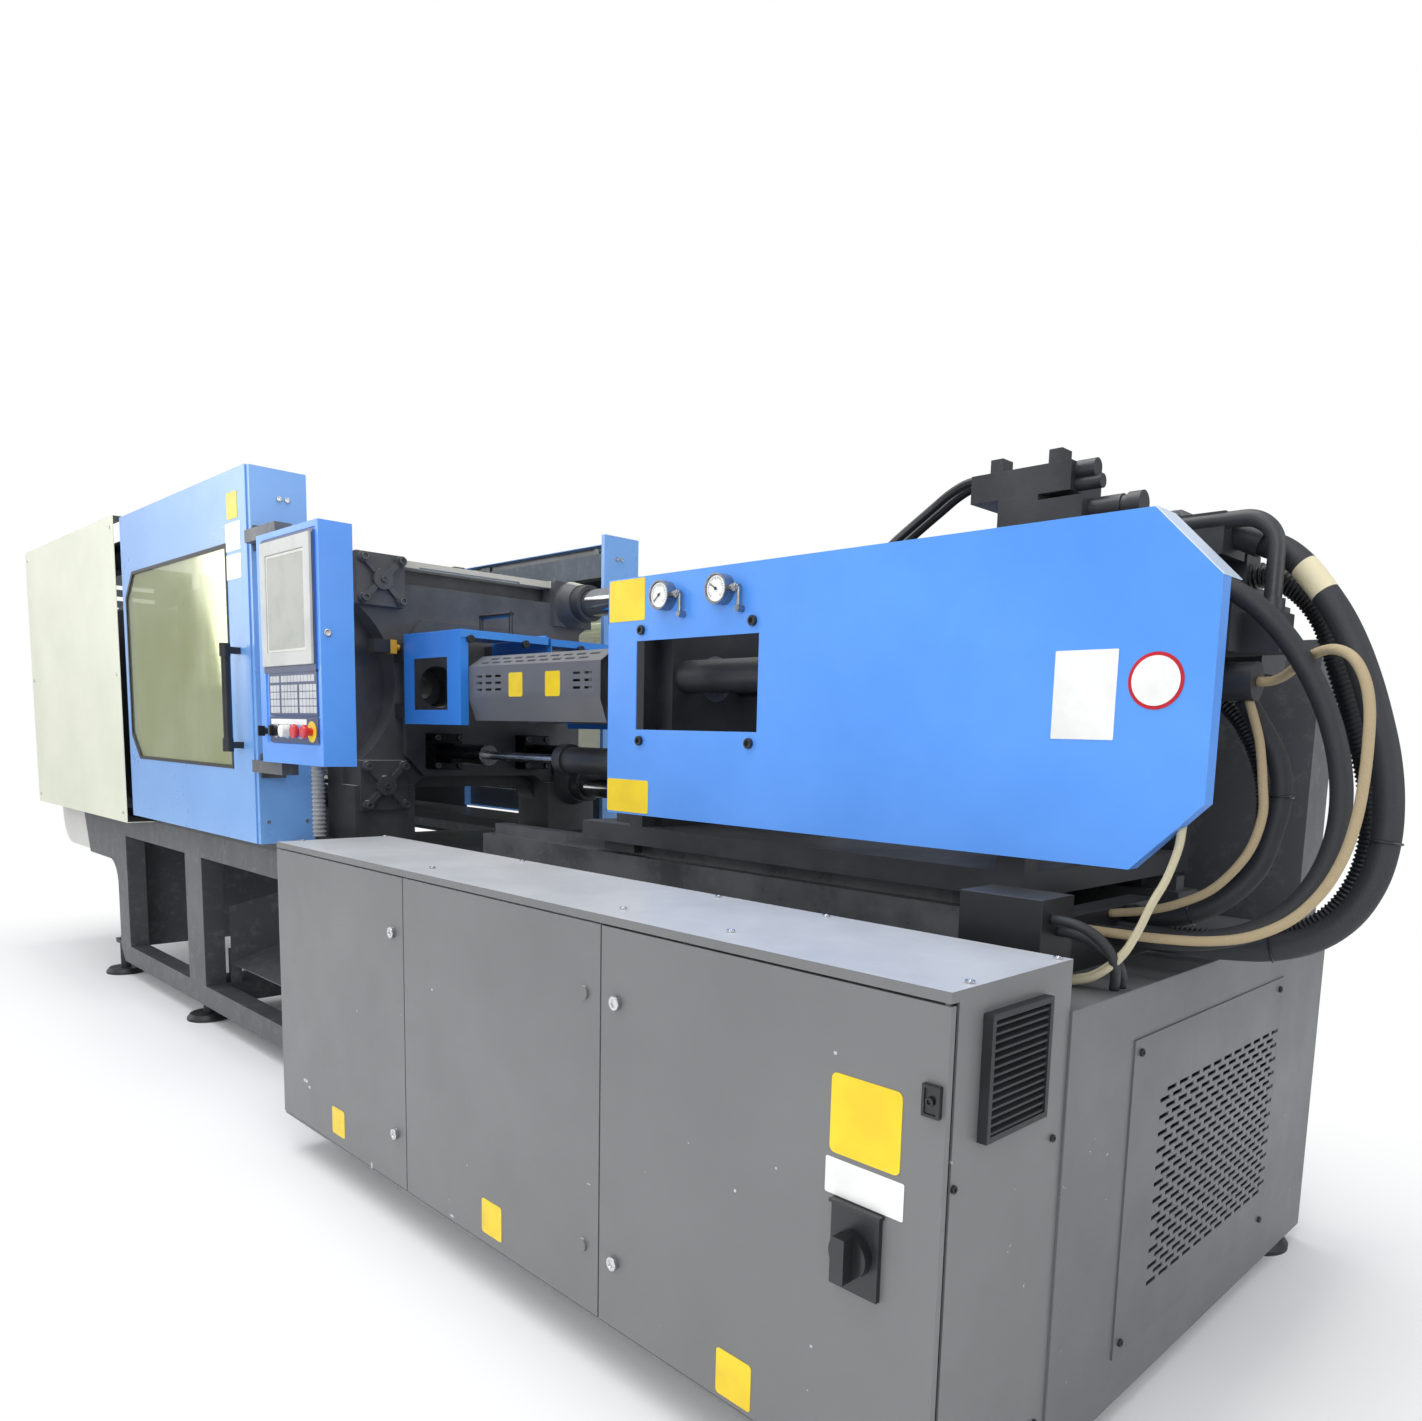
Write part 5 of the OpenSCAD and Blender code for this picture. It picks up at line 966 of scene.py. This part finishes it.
class MACHINE_OT_cabinet(bpy.types.Operator):
    """Locks, screws and plates of the electrical cabinet and the injection bed"""
    bl_idname = "machine.cabinet"
    bl_label = "Cabinet fittings"

    def execute(self, context):
        door_3 = "cabinet_door_3"
        for door, x in ((1, 1309), (3, 2160)):
            finish(join([bolt("y", -1, 27, 5, x, CABINET_FACE - 5, z) for z in (247, 745)]),
                   "locks_%d" % door, "lock_steel", "cabinet_door_%d" % door)
        for door, x, z, w in ((1, 984, 182, 74), (2, 1736, 179, 78), (3, 2478, 166, 82)):
            sticker("patch_%d" % door, (x - w / 2, x + w / 2), (z - w / 2, z + w / 2), CABINET_FACE, 7,
                    "yellow", "cabinet_door_%d" % door)
        sticker("patch_4", (2666, 2794), (622, 744), CABINET_FACE, 10, "yellow", door_3)
        sticker("data_plate", (2660, 2803), (558, 614), CABINET_FACE, 3, "vinyl_white", door_3)
        finish(slab((2678, 2772), (551, 556.5), (-1004, -991.1), 1), "switch_hood", "knob_black", door_3)
        finish(join([slab((2829, 2858), (724, 770), (-1000, -991.1), 0, 1, 5, 3),
                     bolt("y", -1, 13, 5, 2843, -997, 747)]), "door_catch", "knob_black", door_3)
        tops = [bolt("z", 1, 15, 4, x, y, 900)
                for x in (640, 1375, 2090, 2379, 2848) for y in (-924, -676)]
        finish(join(tops), "lid_screws", "lock_steel", "machine")
        ends = [bolt("x", 1, 14, 5, 2872, y, z) for y in (-397, 318) for z in (158, 700)]
        ends += [bolt("x", 1, 12, 5, 2864, y, z) for y in (-965, -690) for z in (140, 620)]
        finish(join(ends), "grille_screws", "black", "machine")
        # Spots where the enamel is knocked off: middle in x and z, width and height
        for door, spots in (
                (1, ((778, 244, 26, 9), (803, 231, 12, 7), (1172, 122, 9, 16))),
                (2, ((1568, 128, 15, 6), (1490, 640, 5, 5))),
                (3, ((2670, 772, 6, 5), (2471, 493, 5, 5), (2680, 691, 4, 8), (2560, 560, 4, 4),
                     (2644, 300, 5, 4)))):
            chips = [slab((x - a / 2, x + a / 2), (z - b / 2, z + b / 2), (-991.25, -990.9),
                          min(a, b) * 0.3, 0) for x, z, a, b in spots]
            finish(join(chips), "chips_%d" % door, "bare_spot", "cabinet_door_%d" % door)
        return {"FINISHED"}


class MACHINE_OT_platen_bolts(bpy.types.Operator):
    """Screws of the corner plates and the flanges on the fixed platen"""
    bl_idname = "machine.platen_bolts"
    bl_label = "Platen bolts"

    def execute(self, context):
        heads = []
        for z0 in (1023, 1733):
            heads += [bolt("x", 1, 27, 11, 125, -410 + y, z0 + z) for y in (-68, 68) for z in (-68, 68)]
            heads += [bolt("x", 1, 22, 8, 125, -410, z0)]
        finish(join(heads), "corner_plate_bolts", "link_iron", "machine")
        heads = [bolt("x", 1, 20, 9, 160, s * 190 + y, 1145 + z) for s in (-1, 1) for y in (-44, 44)
                 for z in (-50, 50)]
        finish(join(heads), "cylinder_foot_bolts", "link_iron", "machine")
        return {"FINISHED"}


class MACHINE_OT_injection_trim(bpy.types.Operator):
    """Gauge dials, plates and fittings of the injection unit"""
    bl_idname = "machine.injection_trim"
    bl_label = "Injection unit trim"

    def execute(self, context):
        for i, x in enumerate((1691, 1884)):
            finish(disc("y", 57, (-506.9, -506.05), x, GAUGE_Z, 0.2, 48), "dial_%d" % (i + 1),
                   "vinyl_white", "carriage")
            marks = []
            for k in range(21):
                mark = slab((-0.5, 0.5), (21.5 if k % 5 else 19, 25), (-507.5, -506.8), 0, 0.1)
                marks.append(turned(mark, SCALE_START + SCALE_STEP * k, x, GAUGE_Z))
            needle = slab((-1.1, 1.1), (-7, 22), (-508.6, -507.8), 0.8, 0.2)
            marks += [turned(needle, -128 + 70 * i, x, GAUGE_Z),
                      disc("y", 7, (-509.2, -506.8), x, GAUGE_Z, 0.6, 20)]
            finish(join(marks), "dial_marks_%d" % (i + 1), "knob_black", "carriage")
            fitting = [disc("x", 15, (x + 30, x + 62), -494, GAUGE_Z, 1.5, 24),
                       disc("x", 21, (x + 44, x + 56), -494, GAUGE_Z, 1.5, 6),
                       disc("z", 9, (1505, 1554), x + 60, -494, 1, 20),
                       disc("y", 15, (-500, -480), x + 60, 1507, 1.5, 20)]
            finish(join(fitting), "gauge_fitting_%d" % (i + 1), "ground_steel", "carriage")
        flange = soften(cuboid((0, 163), (-480, -404), (0.3, 2.3)), 0.6)
        finish(turned(flange, 45, 2861, 1607), "cover_flange", "flange_blue_lit", "carriage")
        heads = [bolt("y", -1, 24, 8, x, COVER_FACE, z)
                 for x, z in ((1598, 1479), (1978, 1480), (1595, 1211), (1975, 1213))]
        finish(join(heads), "cover_knobs", "knob_black", "carriage")
        for name, finish_name, face, x, z, corner in (
                ("cover_patch_1", "yellow", COVER_FACE, (1472, 1609), (1503, 1604), 5),
                ("cover_patch_2", "yellow", COVER_FACE, (1469, 1630), (1031, 1113), 5),
                ("cover_plate", "vinyl_white", COVER_FACE, (2706, 2819), (1238, 1387), 2),
                ("shield_patch_1", "yellow", SHIELD_FACE, (759, 835), (1332, 1406), 6),
                ("shield_patch_2", "yellow", SHIELD_FACE, (956, 1032), (1332, 1406), 6)):
            sticker(name, x, z, face, corner, finish_name, "carriage")
        for name, finish_name, d, span in (("round_plate_rim", "vinyl_red", 92, (-481.1, -480.05)),
                                           ("round_plate", "vinyl_white", 80, (-481.9, -481.0))):
            finish(disc("y", d, span, 2884, 1334, 0.2, 64), name, finish_name, "carriage")
        grip = hose("grip", [[306 + 3.72 * k, -140, 1619.3] for k in range(51)], 19, sides=24)[0]
        finish(soften(grip, 0), "lid_grip", "knob_black", "guard_lid")
        knobs = [bolt("x", 1, 26, 14, 523, y, 1520, socket=False) for y in (-317, -107, 124, 300)]
        finish(join(knobs), "guard_knobs", "knob_black", "machine")
        pipes = []
        for shift in (0, 34):
            route = [[2440, -262 + shift, 1740], [2405, -262 + shift, 1752], [2370, -264 + shift, 1752],
                     [2332, -270 + shift, 1736], [2295, -280 + shift, 1708], [2258, -295 + shift, 1676],
                     [2228, -312 + shift, 1646], [2206, -328 + shift * 0.7, 1616],
                     [2196, -340 + shift * 0.4, 1580]]
            pipes.append(hose("pipe", route, 18, sides=16)[0])
        finish(join(pipes), "valve_pipes", "ribbed", "carriage")
        finish(soften(cuboid((2478, 2632), (170, 284), (1660.2, 1742)), 4), "far_valve_cover", "shield",
               "carriage")
        return {"FINISHED"}


class MACHINE_PT_panel(bpy.types.Panel):
    bl_label = "Moulding machine"
    bl_idname = "MACHINE_PT_panel"
    bl_space_type = "VIEW_3D"
    bl_region_type = "UI"
    bl_category = "Machine"

    def draw(self, context):
        for cls in OPERATORS:
            self.layout.operator(cls.bl_idname)
        for group in (context.scene.machine_colours, context.scene.machine_sizes):
            for key in group.bl_rna.properties.keys():
                if key not in {"rna_type", "name"}:
                    self.layout.prop(group, key)


OPERATORS = (MACHINE_OT_stage, MACHINE_OT_hoses, MACHINE_OT_finishes, MACHINE_OT_operator_panel,
             MACHINE_OT_clamp_guards, MACHINE_OT_cabinet, MACHINE_OT_platen_bolts,
             MACHINE_OT_injection_trim)
GROUPS = (MachineColours, MachineSizes)


def register():
    for cls in GROUPS + OPERATORS + (MACHINE_PT_panel,):
        bpy.utils.register_class(cls)
    bpy.types.Scene.machine_colours = bpy.props.PointerProperty(type=MachineColours)
    bpy.types.Scene.machine_sizes = bpy.props.PointerProperty(type=MachineSizes)


def unregister():
    del bpy.types.Scene.machine_sizes
    del bpy.types.Scene.machine_colours
    for cls in reversed(GROUPS + OPERATORS + (MACHINE_PT_panel,)):
        bpy.utils.unregister_class(cls)


def main():
    register()
    make_materials(bpy.context.scene.machine_colours)
    for cls in OPERATORS:
        area, verb = cls.bl_idname.split(".")
        getattr(getattr(bpy.ops, area), verb)()
    deselect()


if __name__ == "__main__":
    main()
